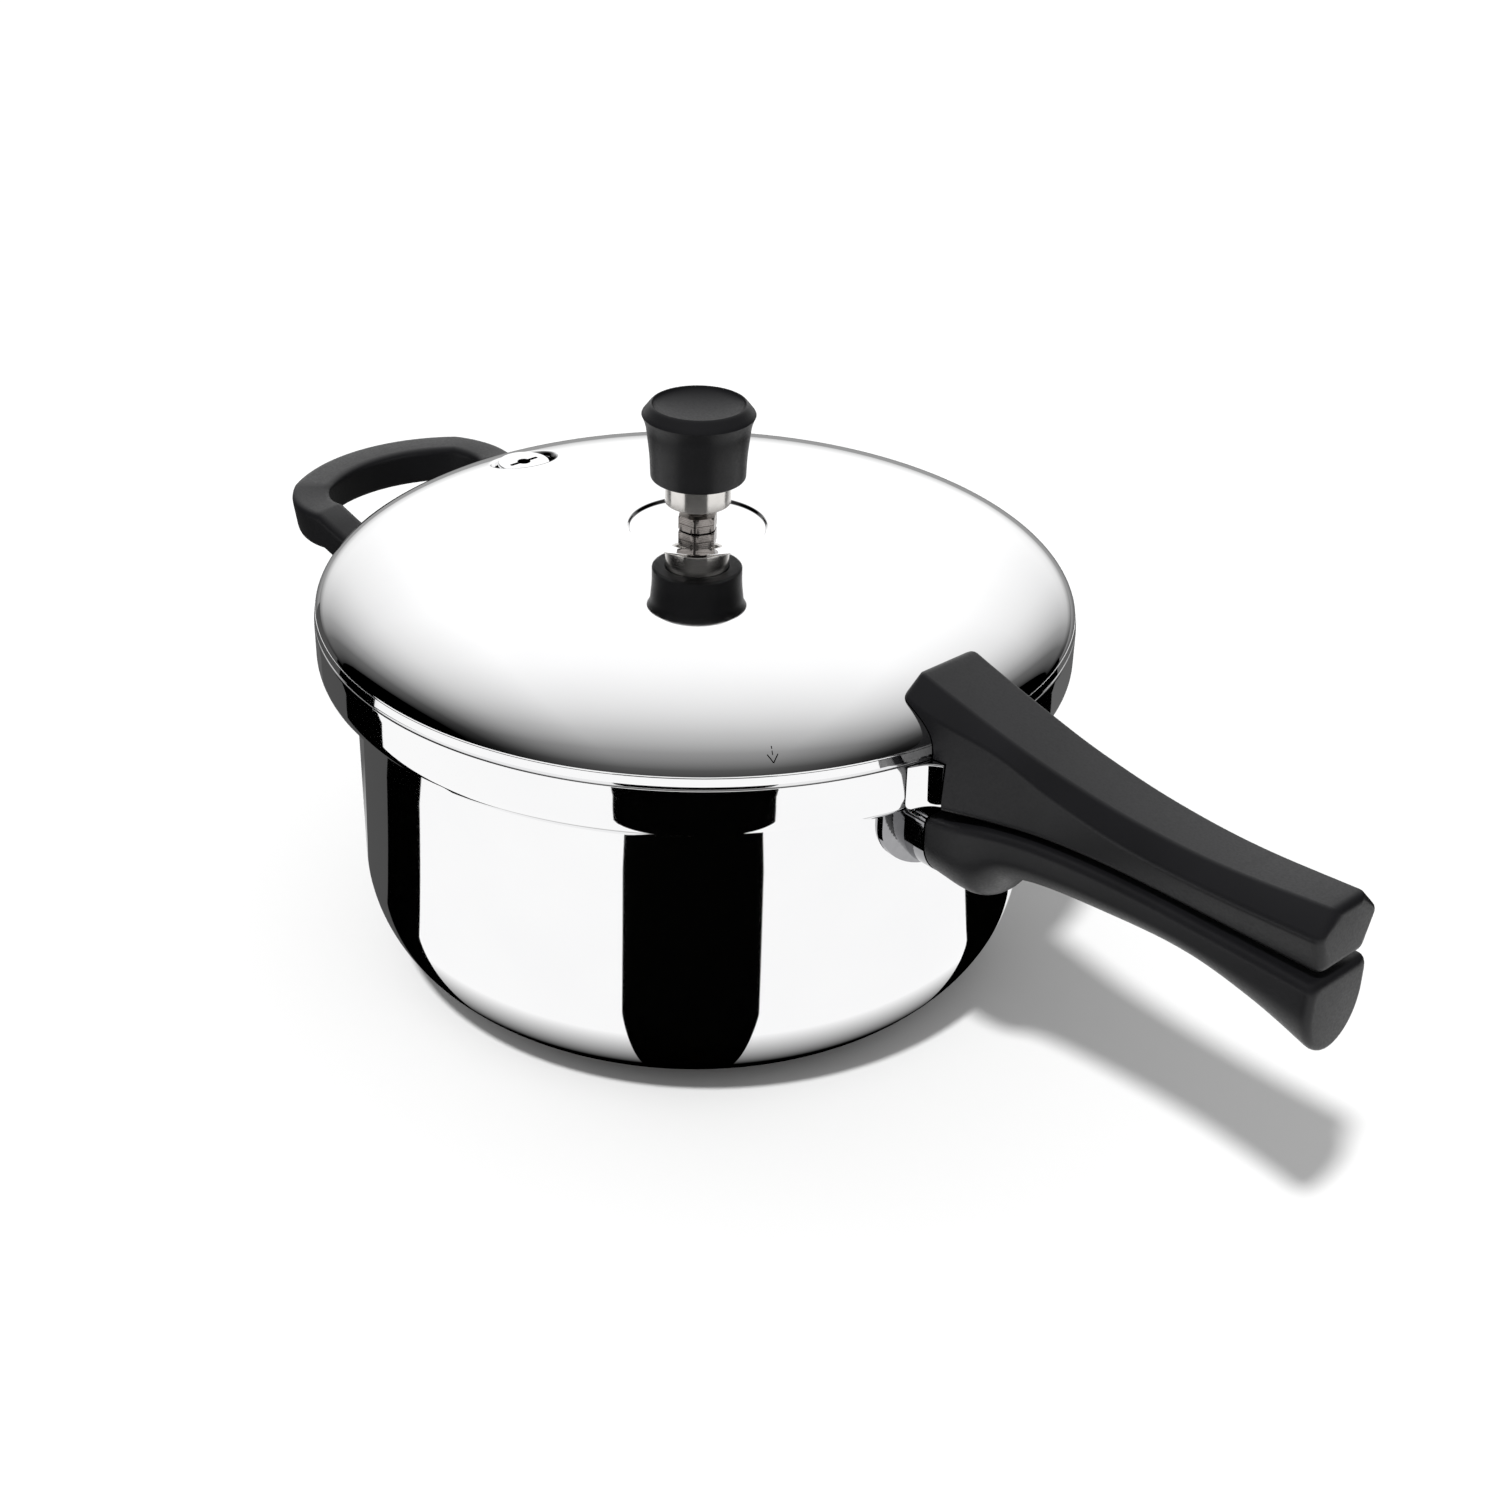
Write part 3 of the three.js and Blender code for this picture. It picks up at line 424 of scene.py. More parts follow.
lid = {
    "domeRise": 20.6,  # edge to the pad's rim
    "domeOverhang": 0.2,  # how far the curve would reach past the dome's edge
    "domeFullness": 2.5,  # 2 would be an ellipse
    "padDepth": 1.1,  # of the round pad pressed into the middle
    "padRadius": 19.5,
    "padStep": 0.8,
    "edgeRise": 2.0,  # neck level to the dome's edge
    "bandLean": 0.5,  # of the upright band under that edge
    "creaseHeight": 0.7,
    "neckHeight": 1.1,
    "skirtWall": 2.0,
    "domeWall": 2.5,
    "curlRadius": 7.5,
    "lugReach": 102.4,
    "lugAngle": 34,
    "lugRise": 4.0,
    "lugBlend": 4.6,  # degrees over which the skirt's edge rises
    "recessRadius": 9.5,
    "recessSlope": 2.2,
    "discLift": 2.6,  # recess floor to the top of the valve's disc
    "valveInset": 29.5,
    "shankHole": 5.1,
    "ventHole": 4.2,
}
lidLow, lidHigh = boxMm("lid_shell")
lidRadius = lidHigh[0]
padTop = lidHigh[2] - lid["padDepth"]
domeRadius = lidRadius - lid["bandLean"]
padEdge = lid["padRadius"] + lid["padStep"]
domeAxis = domeRadius + lid["domeOverhang"]


def domeShare(r, axis):
    return math.sqrt(max(0.0, 1 - (r / axis) ** lid["domeFullness"]))


domeHeight = lid["domeRise"] / (domeShare(padEdge, domeAxis) - domeShare(domeRadius, domeAxis))
domeCentre = lidHigh[2] - domeHeight * domeShare(padEdge, domeAxis)
domeLevel = lidHigh[2] - lid["domeRise"]
neckLevel = domeLevel - lid["edgeRise"]
skirtTop = neckLevel - lid["neckHeight"]
lugBottom = lidLow[2]
curlLevel = lugBottom + lid["curlRadius"]
skirtInner = lidRadius - lid["skirtWall"]
ceiling = skirtTop - lid["skirtWall"]
valveCentre = (-(lidRadius - lid["valveInset"]), 0.0)


def domeAt(r, wall=0.0):
    return domeCentre + (domeHeight - wall) * domeShare(r, domeAxis - wall)


# Points down or up the dome between two radii, closer together towards the edge
def domePoints(fromRadius, toRadius, steps, wall=0.0):
    start, end = [math.acos(r / (domeAxis - wall)) for r in (fromRadius, toRadius)]
    radii = [(domeAxis - wall) * math.cos(start + (end - start) * k / steps) for k in range(steps + 1)]
    return [(r, domeAt(r, wall)) for r in radii]


# Height of the lid's upper face: pad, soft step, dome
def lidTopAt(r):
    share = smoothStep((r - lid["padRadius"]) / lid["padStep"])
    return padTop * (1 - share) + domeAt(r) * share


valveSeat = boxMm("safety_valve_body")[1][2] - lid["discLift"]


def edgeRiseAt(angle):
    half = 180 / pot["earCount"] - lid["lugAngle"] / 2
    step = 360 / pot["earCount"]
    off = abs(math.degrees(angle) % step - step / 2) - half
    return lid["lugRise"] * (1 - smoothStep(off / lid["lugBlend"] + 0.5))


def lidAngles():
    half = 180 / pot["earCount"] - lid["lugAngle"] / 2
    ends = [k * 60 + 30 + side * half for k in range(6) for side in (-1, 1)]
    angles = []
    for i in range(720):
        angle = i * 0.5
        near = min(abs((angle - end + 180) % 360 - 180) for end in ends)
        if near <= lid["lugBlend"] * 0.6 or i % 3 == 0:
            angles.append(math.radians(angle))
    return angles


def lidProfile(angle):
    radius, curl, crease = lidRadius, lidRadius - lid["curlRadius"], skirtTop + lid["creaseHeight"]
    low = lugBottom + edgeRiseAt(angle)
    curlEnd = -math.degrees(math.asin(min(1.0, (curlLevel - low) / lid["curlRadius"])))
    innerCurl = lid["curlRadius"] - lid["skirtWall"]
    lipTop = max(low + 0.02, lugBottom + lid["skirtWall"])
    innerStart = -math.degrees(math.asin(min(1.0, (curlLevel - lipTop) / innerCurl)))
    cutInner = curl + innerCurl * math.cos(math.radians(innerStart))
    lip = lid["lugReach"] if low < lugBottom + lid["skirtWall"] else cutInner
    lip = min(lip, cutInner)
    innerEdge = domeRadius - 2 * lid["domeWall"]
    bandTop, bandFoot = (domeRadius + 0.08, domeLevel - 0.2), (radius - 0.08, crease + 0.06)
    pad = [(lid["ventHole"] + (lid["padRadius"] - lid["ventHole"]) * k / 3, padTop) for k in range(4)]
    step = [(r, lidTopAt(r)) for r in [lid["padRadius"] + lid["padStep"] * k / 8 for k in range(1, 8)]]
    outer = (
        pad + step
        + domePoints(padEdge, domeRadius, 72)
        + [(domeRadius - 0.02, domeLevel - 0.1), (domeRadius - 0.06, domeLevel - 0.17)]
        + [(bandTop[0] + (bandFoot[0] - bandTop[0]) * t, bandTop[1] + (bandFoot[1] - bandTop[1]) * t)
           for t in (0, 0.05, 0.95, 1)]
        + [(radius - 0.2, crease - 0.02), (radius - 0.9, crease - 0.25)]
        + arcPoints(radius - 0.55, skirtTop - 0.55, 0.55, 0.55, 84, 0, 5)
        + [(radius, 111), (radius, 107)]
        + arcPoints(curl, curlLevel, lid["curlRadius"], lid["curlRadius"], 0, curlEnd, 12)
    )
    inner = (
        [(lip, low), (lip, lipTop), (cutInner, lipTop)]
        + arcPoints(curl, curlLevel, innerCurl, innerCurl, innerStart, 0, 10)[1:]
        + [(skirtInner, ceiling - 0.6), (skirtInner - 0.6, ceiling)]
        + [(innerEdge, ceiling)]
        + domePoints(innerEdge, padEdge, 40, lid["domeWall"])
        + [(lid["padRadius"], padTop - lid["domeWall"]), (lid["ventHole"], padTop - lid["domeWall"])]
    )
    return outer + inner


# The safety valve's seat is pressed into the dome: a ring of finer mesh, open at the valve's hole, is let
# into the top face
def pressRecess(shape):
    mesh = shape.mesh
    cx, cy = valveCentre
    grip = lid["recessRadius"] + 4.5
    steps = 96

    def off(vert):
        return math.hypot(vert.co.x - cx, vert.co.y - cy)

    def isTop(vert):
        return abs(vert.co.z - lidTopAt(math.hypot(vert.co.x, vert.co.y))) < 0.05
    gone = [f for f in mesh.faces if all(off(v) < grip and isTop(v) for v in f.verts)]
    bmesh.ops.delete(mesh, geom=gone, context="FACES")
    rim = [e for e in mesh.edges if e.is_boundary and all(off(v) < grip and isTop(v) for v in e.verts)]
    radii = [lid["shankHole"], 7.0, 8.6] + [
        lid["recessRadius"] - lid["recessSlope"] / 2 + lid["recessSlope"] * k / 10 for k in range(11)
    ] + [lid["recessRadius"] + d for d in (0.8, 1.2, 1.8)]
    rings = []
    for radius in radii:
        ring = []
        for angle in evenAngles(steps):
            x, y = cx + radius * math.cos(angle), cy + radius * math.sin(angle)
            share = smoothStep((radius - lid["recessRadius"]) / lid["recessSlope"] + 0.5)
            ring.append(mesh.verts.new((x, y, valveSeat * (1 - share) + domeAt(math.hypot(x, y)) * share)))
        rings.append(ring)
    for a, b in zip(rings, rings[1:]):
        for i in range(steps):
            j = (i + 1) % steps
            mesh.faces.new((a[i], a[j], b[j], b[i]))
    outerLoop = [mesh.edges.get((rings[-1][i], rings[-1][(i + 1) % steps])) for i in range(steps)]
    bmesh.ops.triangle_fill(mesh, edges=rim + outerLoop, use_beauty=True)
    # the hole's wall goes down through the sheet
    wall = [mesh.verts.new((v.co.x, v.co.y, v.co.z - lid["domeWall"])) for v in rings[0]]
    for i in range(steps):
        j = (i + 1) % steps
        mesh.faces.new((rings[0][j], rings[0][i], wall[i], wall[j]))
    under = [f for f in mesh.faces if all(
        off(v) < lid["recessRadius"] + 4 and v.co.z < domeAt(math.hypot(v.co.x, v.co.y)) - 1.2
        and v.co.z > ceiling + 0.5 and v not in rings[0] and v not in wall for v in f.verts)]
    bmesh.ops.delete(mesh, geom=under, context="FACES")
    low = [e for e in mesh.edges if e.is_boundary]
    bmesh.ops.triangle_fill(mesh, edges=low, use_beauty=True)
    return shape


arrow = {"angle": -31.4, "tip": 108.5, "length": 3.4, "head": 1.6, "halfWidth": 1.4, "stroke": 0.25}


# A thin stroke laid on the dome between two places, each a distance from the axis and one across
def domeStroke(start, end):
    along = Vector((end[0] - start[0], end[1] - start[1]))
    side = Vector((-along.y, along.x)).normalized() * arrow["stroke"] / 2
    turn = math.radians(arrow["angle"])
    rings = []
    for t in (0, 0.5, 1):
        middle = Vector(start) + along * t
        ring = []
        for corner, lift in ((side, 0.03), (-side, 0.03), (-side, -0.2), (side, -0.2)):
            u, v = middle + corner
            ring.append((u * math.cos(turn) - v * math.sin(turn), u * math.sin(turn) + v * math.cos(turn),
                         domeAt(math.hypot(u, v)) + lift))
        rings.append(ring)
    return Shape().skin(rings, slots=[1, 1])


# The closing mark: a small etched arrow that points outwards beside the handle
def closingArrow():
    tip, tail, head, wide = arrow["tip"], arrow["tip"] - arrow["length"], arrow["head"], arrow["halfWidth"]
    shape = domeStroke((tail, 0), (tip, 0))
    for side in (-1, 1):
        shape.take(domeStroke((tip - head, side * wide), (tip, 0)))
    return shape


lidShape = pressRecess(Shape().turn(lidProfile, lidAngles(), closed=True)).take(closingArrow())
makePiece("lidShell", lidShape, [mirrorSteel, etchedMarkAndPaintedShadeSteel], "lid", ["lid_shell"],
          sharp=40)
print("lid made")


lidHandle = {
    "overlap": 13.5,  # how far it lies over the dome
    "standoff": 3.5,
    "gap": 0.3,
    "noseRound": 3.2,
    "endRound": 2.6,
    "tongueHalf": 7.0,
    "tongueDrop": 8.0,  # neck level to the tongue's lower face
    "tongueThickness": 3.0,
    "seatWall": 2.6,  # resin between the tongue and a screw's head
    "boreRadius": 3.7,
    "holeRadius": 2.2,
    "screws": (14.0, 30.0),  # from the lid's edge
}
tongueLow = neckLevel - lidHandle["tongueDrop"]
handleEnd = boxMm("lid_handle")[1][0]
handleReach = handleEnd - lidRadius


def atShare(share):
    return lidRadius + handleReach * share


handleUnderside = smoothLine([
    (atShare(0), neckLevel - 16.4),
    (atShare(0.15), neckLevel - 14),
    (atShare(0.3), neckLevel - 12),
    (atShare(0.5), neckLevel - 11),
    (atShare(1), neckLevel - 11.4),
])


def lidHandleShape():
    start = lidRadius - lidHandle["overlap"]
    top = smoothLine([
        (start, neckLevel + 18), (atShare(-0.03), neckLevel + 15.3), (atShare(0.15), neckLevel + 10.2),
        (atShare(0.3), neckLevel + 6.8), (atShare(0.5), neckLevel + 4), (atShare(0.72), neckLevel + 3.4),
        (handleEnd, neckLevel + 6),
    ])
    widestLevel = smoothLine([
        (start, neckLevel + 12), (atShare(-0.03), neckLevel + 9.5), (atShare(0.15), neckLevel + 6.3),
        (atShare(0.3), neckLevel + 1.6),
        (atShare(0.5), neckLevel - 1.8), (atShare(0.72), neckLevel - 2), (handleEnd, neckLevel - 0.4),
    ])
    topHalf = smoothLine([(start, 10), (atShare(0.3), 8.6), (handleEnd, 6)])
    bottomHalf = smoothLine([(start, 16.6), (lidRadius, 16.6), (atShare(0.15), 13.6), (atShare(0.3), 11.4),
                             (atShare(0.55), 9.8), (handleEnd, 8.6)])
    widest = smoothLine([(start, 15.6), (atShare(-0.03), 15), (atShare(0.15), 12.6), (atShare(0.3), 12),
                         (handleEnd, 12)])
    rings = []
    for x, shrink in roundedStations(start, handleEnd, 60, lidHandle["noseRound"], lidHandle["endRound"]):
        high = top(x) - shrink
        low = handleUnderside(max(x, lidRadius)) + shrink
        section = [
            (topHalf(x) - shrink, high, 1.6), (widest(x) - shrink * 0.8, widestLevel(x), 2.4),
            (bottomHalf(x) - shrink, low, 2.2), (shrink - bottomHalf(x), low, 2.2),
            (shrink * 0.8 - widest(x), widestLevel(x), 2.4), (shrink - topHalf(x), high, 1.6),
        ]
        rings.append([(x, y, z) for y, z in roundedOutline(section, 6)])
    return Shape().skin(rings)


# Everything inside the lid's outside, grown by a margin
def lidEnvelope(margin):
    profile = ([(0, lugBottom - 30), (lidRadius + margin, lugBottom - 30)]
               + [(lidRadius + margin, skirtTop + lid["creaseHeight"])]
               + domePoints(domeRadius + margin, 0, 60, -margin))
    return Shape().turn(lambda a: profile, evenAngles(180))


def makeLidHandle():
    face = lidRadius + lidHandle["standoff"]
    shape = combine(lidHandleShape(), lidEnvelope(lidHandle["gap"]), "DIFFERENCE")
    cut = boxShape((lidRadius - 30, -40, lugBottom - 30), (face, 40, skirtTop - 0.6))
    shape = combine(shape, cut, "DIFFERENCE")
    low, high = boxMm("lid_bracket")
    gap = lidHandle["gap"]
    slotHalf = lidHandle["tongueHalf"] + gap
    slot = boxShape((lidRadius, -slotHalf, tongueLow - gap),
                    (high[0] + gap, slotHalf, tongueLow + lidHandle["tongueThickness"] + gap))
    shape = combine(shape, slot, "DIFFERENCE")
    seat = tongueLow - lidHandle["seatWall"]
    for reach in lidHandle["screws"]:
        bore = Shape().disc(lidHandle["boreRadius"], seat - 20, seat, (lidRadius + reach, 0))
        shape = combine(shape, bore, "DIFFERENCE")
        hole = Shape().disc(lidHandle["holeRadius"], seat - 1, tongueLow + 6.5, (lidRadius + reach, 0))
        shape = combine(shape, hole, "DIFFERENCE")
    return makePiece("lidHandleGrip", shape, [blackPhenolic], "lid", ["lid_handle"], sharp=34)


makeLidHandle()


# The pressed saddle that flares from the handle's end to the skirt
def makeLidBracket():
    low, high = boxMm("lid_bracket")
    face = lidRadius + lidHandle["standoff"] - 0.3
    flare = smoothLine([(lidRadius - 4, 27), (lidRadius - 2, 23), (lidRadius, 18.5), (face, 15.8)])
    topLevel, bottomLevel = skirtTop - 0.9, neckLevel - 15.5
    rings = []
    for k in range(25):
        x = lidRadius - 4 + (face - lidRadius + 4) * k / 24
        half = flare(x)
        corners = [(half, topLevel, 0.5), (half, bottomLevel, 2.6),
                   (-half, bottomLevel, 2.6), (-half, topLevel, 0.5)]
        rings.append([(x, y, z) for y, z in roundedOutline(corners, 6)])
    shape = Shape().skin(rings)
    half = lidHandle["tongueHalf"]
    tongue = boxShape((lidRadius - 2, -half, tongueLow),
                      (high[0], half, tongueLow + lidHandle["tongueThickness"]), 1.5)
    shape = combine(shape, tongue, "UNION")
    wall = Shape().disc(lidRadius + 0.3, 0, padTop, steps=240)
    shape = combine(shape, wall, "DIFFERENCE")
    for reach in lidHandle["screws"]:
        hole = Shape().disc(lidHandle["holeRadius"], 0, padTop, (lidRadius + reach, 0))
        shape = combine(shape, hole, "DIFFERENCE")
    return makePiece("lidSaddle", shape, [mirrorSteel], "lid", ["lid_bracket"])


makeLidBracket()
print("lid handle made")


potHandle = {
    "collarReach": 8.0,
    "collarHalf": 15.0,
    "collarHeight": 22.0,
    "flangeHalf": 22.0,
    "bracketWall": 1.5,
    "gapToLidHandle": 2.2,
    "endRound": 2.4,
}
handleFoot = potRadius + potHandle["collarReach"]
collarTop = lugBottom - 1.8
collarBottom = collarTop - potHandle["collarHeight"]
tongueLevel = collarTop - 12
potScrewX = handleFoot + 12


# U section: flat top with rounded shoulders, sides, round belly
def cupOutline(half, top, bottom, shoulder, steps=7):
    points = [(half - shoulder + u, top - shoulder + v)
              for u, v in arcPoints(0, 0, shoulder, shoulder, 90, 0, steps)]
    straight = top - shoulder - (top - bottom) * 0.22
    points += [(u, straight + v) for u, v in arcPoints(0, 0, half, straight - bottom, 0, -90, 14)]
    return points + [(-u, v) for u, v in reversed(points[:-1])]


def makePotHandle():
    span = handleEnd - handleFoot
    bottom = smoothLine([
        (handleFoot, collarBottom + 0.2), (handleFoot + span * 0.1, collarBottom - 1.2),
        (handleFoot + span * 0.15, collarBottom + 1.6), (handleFoot + span * 0.2, collarBottom + 9),
        (handleFoot + span * 0.27, collarBottom + 12.2),
        (handleFoot + span * 0.45, collarBottom + 14.6), (handleFoot + span * 0.68, collarBottom + 16),
        (handleFoot + span * 0.85, collarBottom + 12), (handleEnd, collarBottom + 5.6),
    ])
    halfWidth = smoothLine([(handleFoot, 15), (handleFoot + span * 0.12, 15), (handleFoot + span * 0.3, 12.4),
                            (handleFoot + span * 0.6, 11.2), (handleEnd, 11.6)])

    def under(share):
        return atShare(share), handleUnderside(atShare(share)) - potHandle["gapToLidHandle"]
    top = smoothLine([(handleFoot, collarTop), (lidRadius + lidHandle["standoff"], collarTop + 1),
                      under(0.15), under(0.3), under(0.5), under(0.75), under(1)])
    rings = []
    for x, shrink in roundedStations(handleFoot, handleEnd, 70, 0.5, potHandle["endRound"]):
        outline = cupOutline(halfWidth(x) - shrink, top(x) - shrink, bottom(x) + shrink, 2.6)
        rings.append([(x, y, z) for y, z in outline])
    shape = Shape().skin(rings)
    slot = boxShape((handleFoot - 5, -6.3, tongueLevel - 0.3), (potScrewX + 8.3, 6.3, tongueLevel + 3.3))
    shape = combine(shape, slot, "DIFFERENCE")
    bore = Shape().disc(5, collarBottom - 10, tongueLevel - 4, (potScrewX, 0))
    shape = combine(shape, bore, "DIFFERENCE")
    hole = Shape().disc(2.3, collarBottom, tongueLevel + 8, (potScrewX, 0))
    shape = combine(shape, hole, "DIFFERENCE")
    makePiece("potHandleGrip", shape, [blackPhenolic], "pot", ["pot_handle"], sharp=34)


def pushAlongX(outline, lowX, highX, steps=1):
    rings = [[(lowX + (highX - lowX) * k / steps, y, z) for y, z in outline] for k in range(steps + 1)]
    return Shape().skin(rings)


# A curved plate that lies on the pot's wall, as wide as the outline
def wallPlate(outline, lowX, highX, thickness):
    tube = Shape().turn(lambda a: [(potRadius + 0.3, 60), (potRadius + 0.3 + thickness, 60),
                                   (potRadius + 0.3 + thickness, 100), (potRadius + 0.3, 100)],
                        evenAngles(360), closed=True)
    return combine(pushAlongX(outline, lowX, highX), tube, "INTERSECT")


def makePotCollar():
    flange = cupOutline(potHandle["flangeHalf"], collarTop - 0.5, collarBottom + 1, 0.6)
    plate = wallPlate(flange, potRadius * 0.8, potRadius + 5, potHandle["bracketWall"])
    collar = cupOutline(potHandle["collarHalf"], collarTop, collarBottom, 2.6)
    body = pushAlongX(collar, potRadius - 6, handleFoot - 0.3)
    tongue = boxShape((potRadius, -6, tongueLevel), (potScrewX + 8, 6, tongueLevel + 3), 1.5)
    shape = combine(combine(body, tongue, "UNION"), Shape().disc(potRadius + 0.3, 0, potHeight, steps=360),
                    "DIFFERENCE")
    shape = combine(shape, plate, "UNION")
    shape = combine(shape, Shape().disc(2.3, 0, potHeight, (potScrewX, 0)), "DIFFERENCE")
    makePiece("potCollar", shape, [smokedSteel], "pot", ["pot_bracket"])


makePotHandle()
makePotCollar()
print("pot handle made")


helper = {
    "reach": 73.7,  # pot wall to its outer edge
    "halfWidth": 43.0,
    "bar": 13.0,
    "barCentreRadius": 47.5,
    "cornerRadius": 10.5,
    "cornerDrop": 1.5,  # how much lower the corners are than the bar
    "armSag": 1.5,
    "screwY": 14.0,
}
helperScrewX = -(potRadius + 9)


# Foot, arm, rounded corner and half of the curved bar, from one side to the middle
def helperRoute(side, footLevel, gripLevel):
    radius, half = helper["barCentreRadius"], helper["bar"] / 2
    centreX = -(potRadius + helper["reach"] - half - radius)
    swing = math.asin((helper["halfWidth"] - half) / radius)

    def onBar(angle):
        return Vector((centreX - radius * math.cos(angle), side * radius * math.sin(angle), gripLevel))
    corner = onBar(swing) - Vector((0, 0, helper["cornerDrop"]))
    foot = Vector((-(potRadius + 8), side * 25, footLevel))
    toFoot = Vector((foot.x - corner.x, foot.y - corner.y, 0)).normalized()
    armEnd = corner + toFoot * helper["cornerRadius"]
    turnFrom = swing - helper["cornerRadius"] / radius
    route = [foot.lerp(armEnd, t) - Vector((0, 0, helper["armSag"] * math.sin(math.pi * t)))
             for t in (0, 0.2, 0.4, 0.6, 0.8)]
    barStart = onBar(turnFrom)
    for k in range(13):
        t = k / 12
        route.append(armEnd.lerp(corner, t).lerp(corner.lerp(barStart, t), t))
    return route + [onBar(turnFrom * (1 - k / 12)) for k in range(1, 12)]


def makeHelperHandle():
    half = helper["bar"] / 2
    grip = neckLevel - 9 - half
    foot = tongueLevel + 1.5
    right, left = helperRoute(-1, foot, grip), helperRoute(1, foot, grip)
    middle = Vector((-(potRadius + helper["reach"] - half), 0, grip))
    route = right + [middle] + list(reversed(left))
    topIn, topOut, lowIn, lowOut = half, half, half * 0.72, half * 0.66
    rings = []
    for i, point in enumerate(route):
        along = route[min(i + 1, len(route) - 1)] - route[max(i - 1, 0)]
        along.z = 0
        along.normalize()
        across = Vector((-along.y, along.x, 0))
        section = roundedOutline([(topIn, half, 2.4), (-topOut, half, 2.4), (-lowOut, -half, 3.2),
                                  (lowIn, -half, 3.2)], 6)
        rings.append([tuple(point + across * u + Vector((0, 0, w))) for u, w in section])
    shape = Shape().skin(rings)
    block = cupOutline(27, foot + half, foot - half - 1, 3.0)
    base = pushAlongX(block, -(potRadius + 16), -(potRadius - 10))
    shape = combine(shape, base, "UNION")
    keepOff = Shape().disc(potRadius + 0.6 + potHandle["bracketWall"], 0, potHeight, steps=360)
    shape = combine(shape, keepOff, "DIFFERENCE")
    for side in (-1, 1):
        y = side * helper["screwY"]
        slot = boxShape((helperScrewX - 5.3, y - 4.8, tongueLevel - 0.3), (0, y + 4.8, tongueLevel + 3.3))
        shape = combine(shape, slot, "DIFFERENCE")
        bore = Shape().disc(4.2, tongueLevel - 20, tongueLevel - 4, (helperScrewX, y))
        shape = combine(shape, bore, "DIFFERENCE")
        hole = Shape().disc(2.1, tongueLevel - 6, tongueLevel + 9, (helperScrewX, y))
        shape = combine(shape, hole, "DIFFERENCE")
    makePiece("helperGrip", shape, [blackPhenolic], "pot", ["helper_handle"], sharp=34)


def makeHelperBracket():
    outline = cupOutline(26, collarTop - 2, collarBottom + 2, 0.6)
    shape = wallPlate(outline, -potRadius - 5, -potRadius * 0.8, potHandle["bracketWall"])
    for side in (-1, 1):
        y = side * helper["screwY"]
        tongue = boxShape((helperScrewX - 5, y - 4.5, tongueLevel),
                          (-potRadius - 0.6, y + 4.5, tongueLevel + 3), 1)
        shape = combine(shape, tongue, "UNION")
        shape = combine(shape, Shape().disc(2.1, 0, potHeight, (helperScrewX, y)), "DIFFERENCE")
    makePiece("helperFlange", shape, [mirrorSteel], "pot", ["helper_bracket"])


makeHelperHandle()
makeHelperBracket()
print("helper handle made")


# A pan head with a slot, pointing up, sized from the CAD screw
def makeScrew(name, node, body):
    low, high = boxMm(node)
    head = (high[0] - low[0]) / 2
    shank = head * 0.5
    centre = ((low[0] + high[0]) / 2, (low[1] + high[1]) / 2)
    seat = low[2] + 2.4
    profile = ([(0, low[2])] + arcPoints(head - 1, low[2] + 1, 1, 1, -90, 0, 4)
               + [(head, seat), (shank, seat), (shank, high[2] - 0.8), (shank - 0.8, high[2]), (0, high[2])])
    shape = Shape().turn(lambda a: profile, evenAngles(48))
    slot = boxShape((-head - 1, -0.5, low[2] - 1), (head + 1, 0.5, low[2] + 0.8))
    shape = combine(shape, slot, "DIFFERENCE").move((centre[0], centre[1], 0))
    makePiece(name, shape, [zincScrewSteel], body, [node])


makeScrew("lidScrewFront", "lid_handle_screw_front", "lid")
makeScrew("lidScrewRear", "lid_handle_screw_rear", "lid")
makeScrew("potHandleBolt", "pot_handle_screw", "pot")
makeScrew("helperScrewLeft", "helper_screw_left", "pot")
makeScrew("helperScrewRight", "helper_screw_right", "pot")
print("screws made")


def makeGasket():
    low, high = boxMm("gasket")
    outer, width = high[0], 9.8
    inner = outer - width
    lip = (high[2] - low[2]) * 0.25
    middle = inner + width * 0.5
    profile = (
        arcPoints(outer - 0.6, low[2] + 0.6, 0.6, 0.6, -90, 0, 4)
        + arcPoints(outer - 0.6, high[2] - 0.6, 0.6, 0.6, 0, 90, 4)
        + arcPoints(inner + 1, high[2] - 1, 1, 1, 90, 180, 5) + [(inner, high[2] - lip)]
        + arcPoints(middle - 0.8, high[2] - lip - 2, 0.8, 0.8, 90, 0, 4)
        + arcPoints(middle - 0.8, low[2] + lip + 2, 0.8, 0.8, 0, -90, 4)
        + [(inner, low[2] + lip)] + arcPoints(inner + 1, low[2] + 1, 1, 1, 180, 270, 5)
    )
    shape = Shape().turn(lambda a: profile, evenAngles(240), closed=True)
    makePiece("gasketRing", shape, [silicone], "gasket_ring", ["gasket"], sharp=60)


makeGasket()


vent = {"hexagon": 6.0, "hexHeight": 4.3, "turn": -51, "stem": 2.7, "thread": 3.9, "bore": 1.3}


def hexRadius(angle, corner, turn, soften=0.0):
    flat = corner * math.cos(math.radians(30))
    off = (math.degrees(angle) - turn) % 60 - 30
    return min(flat / math.cos(math.radians(off)), corner - soften)


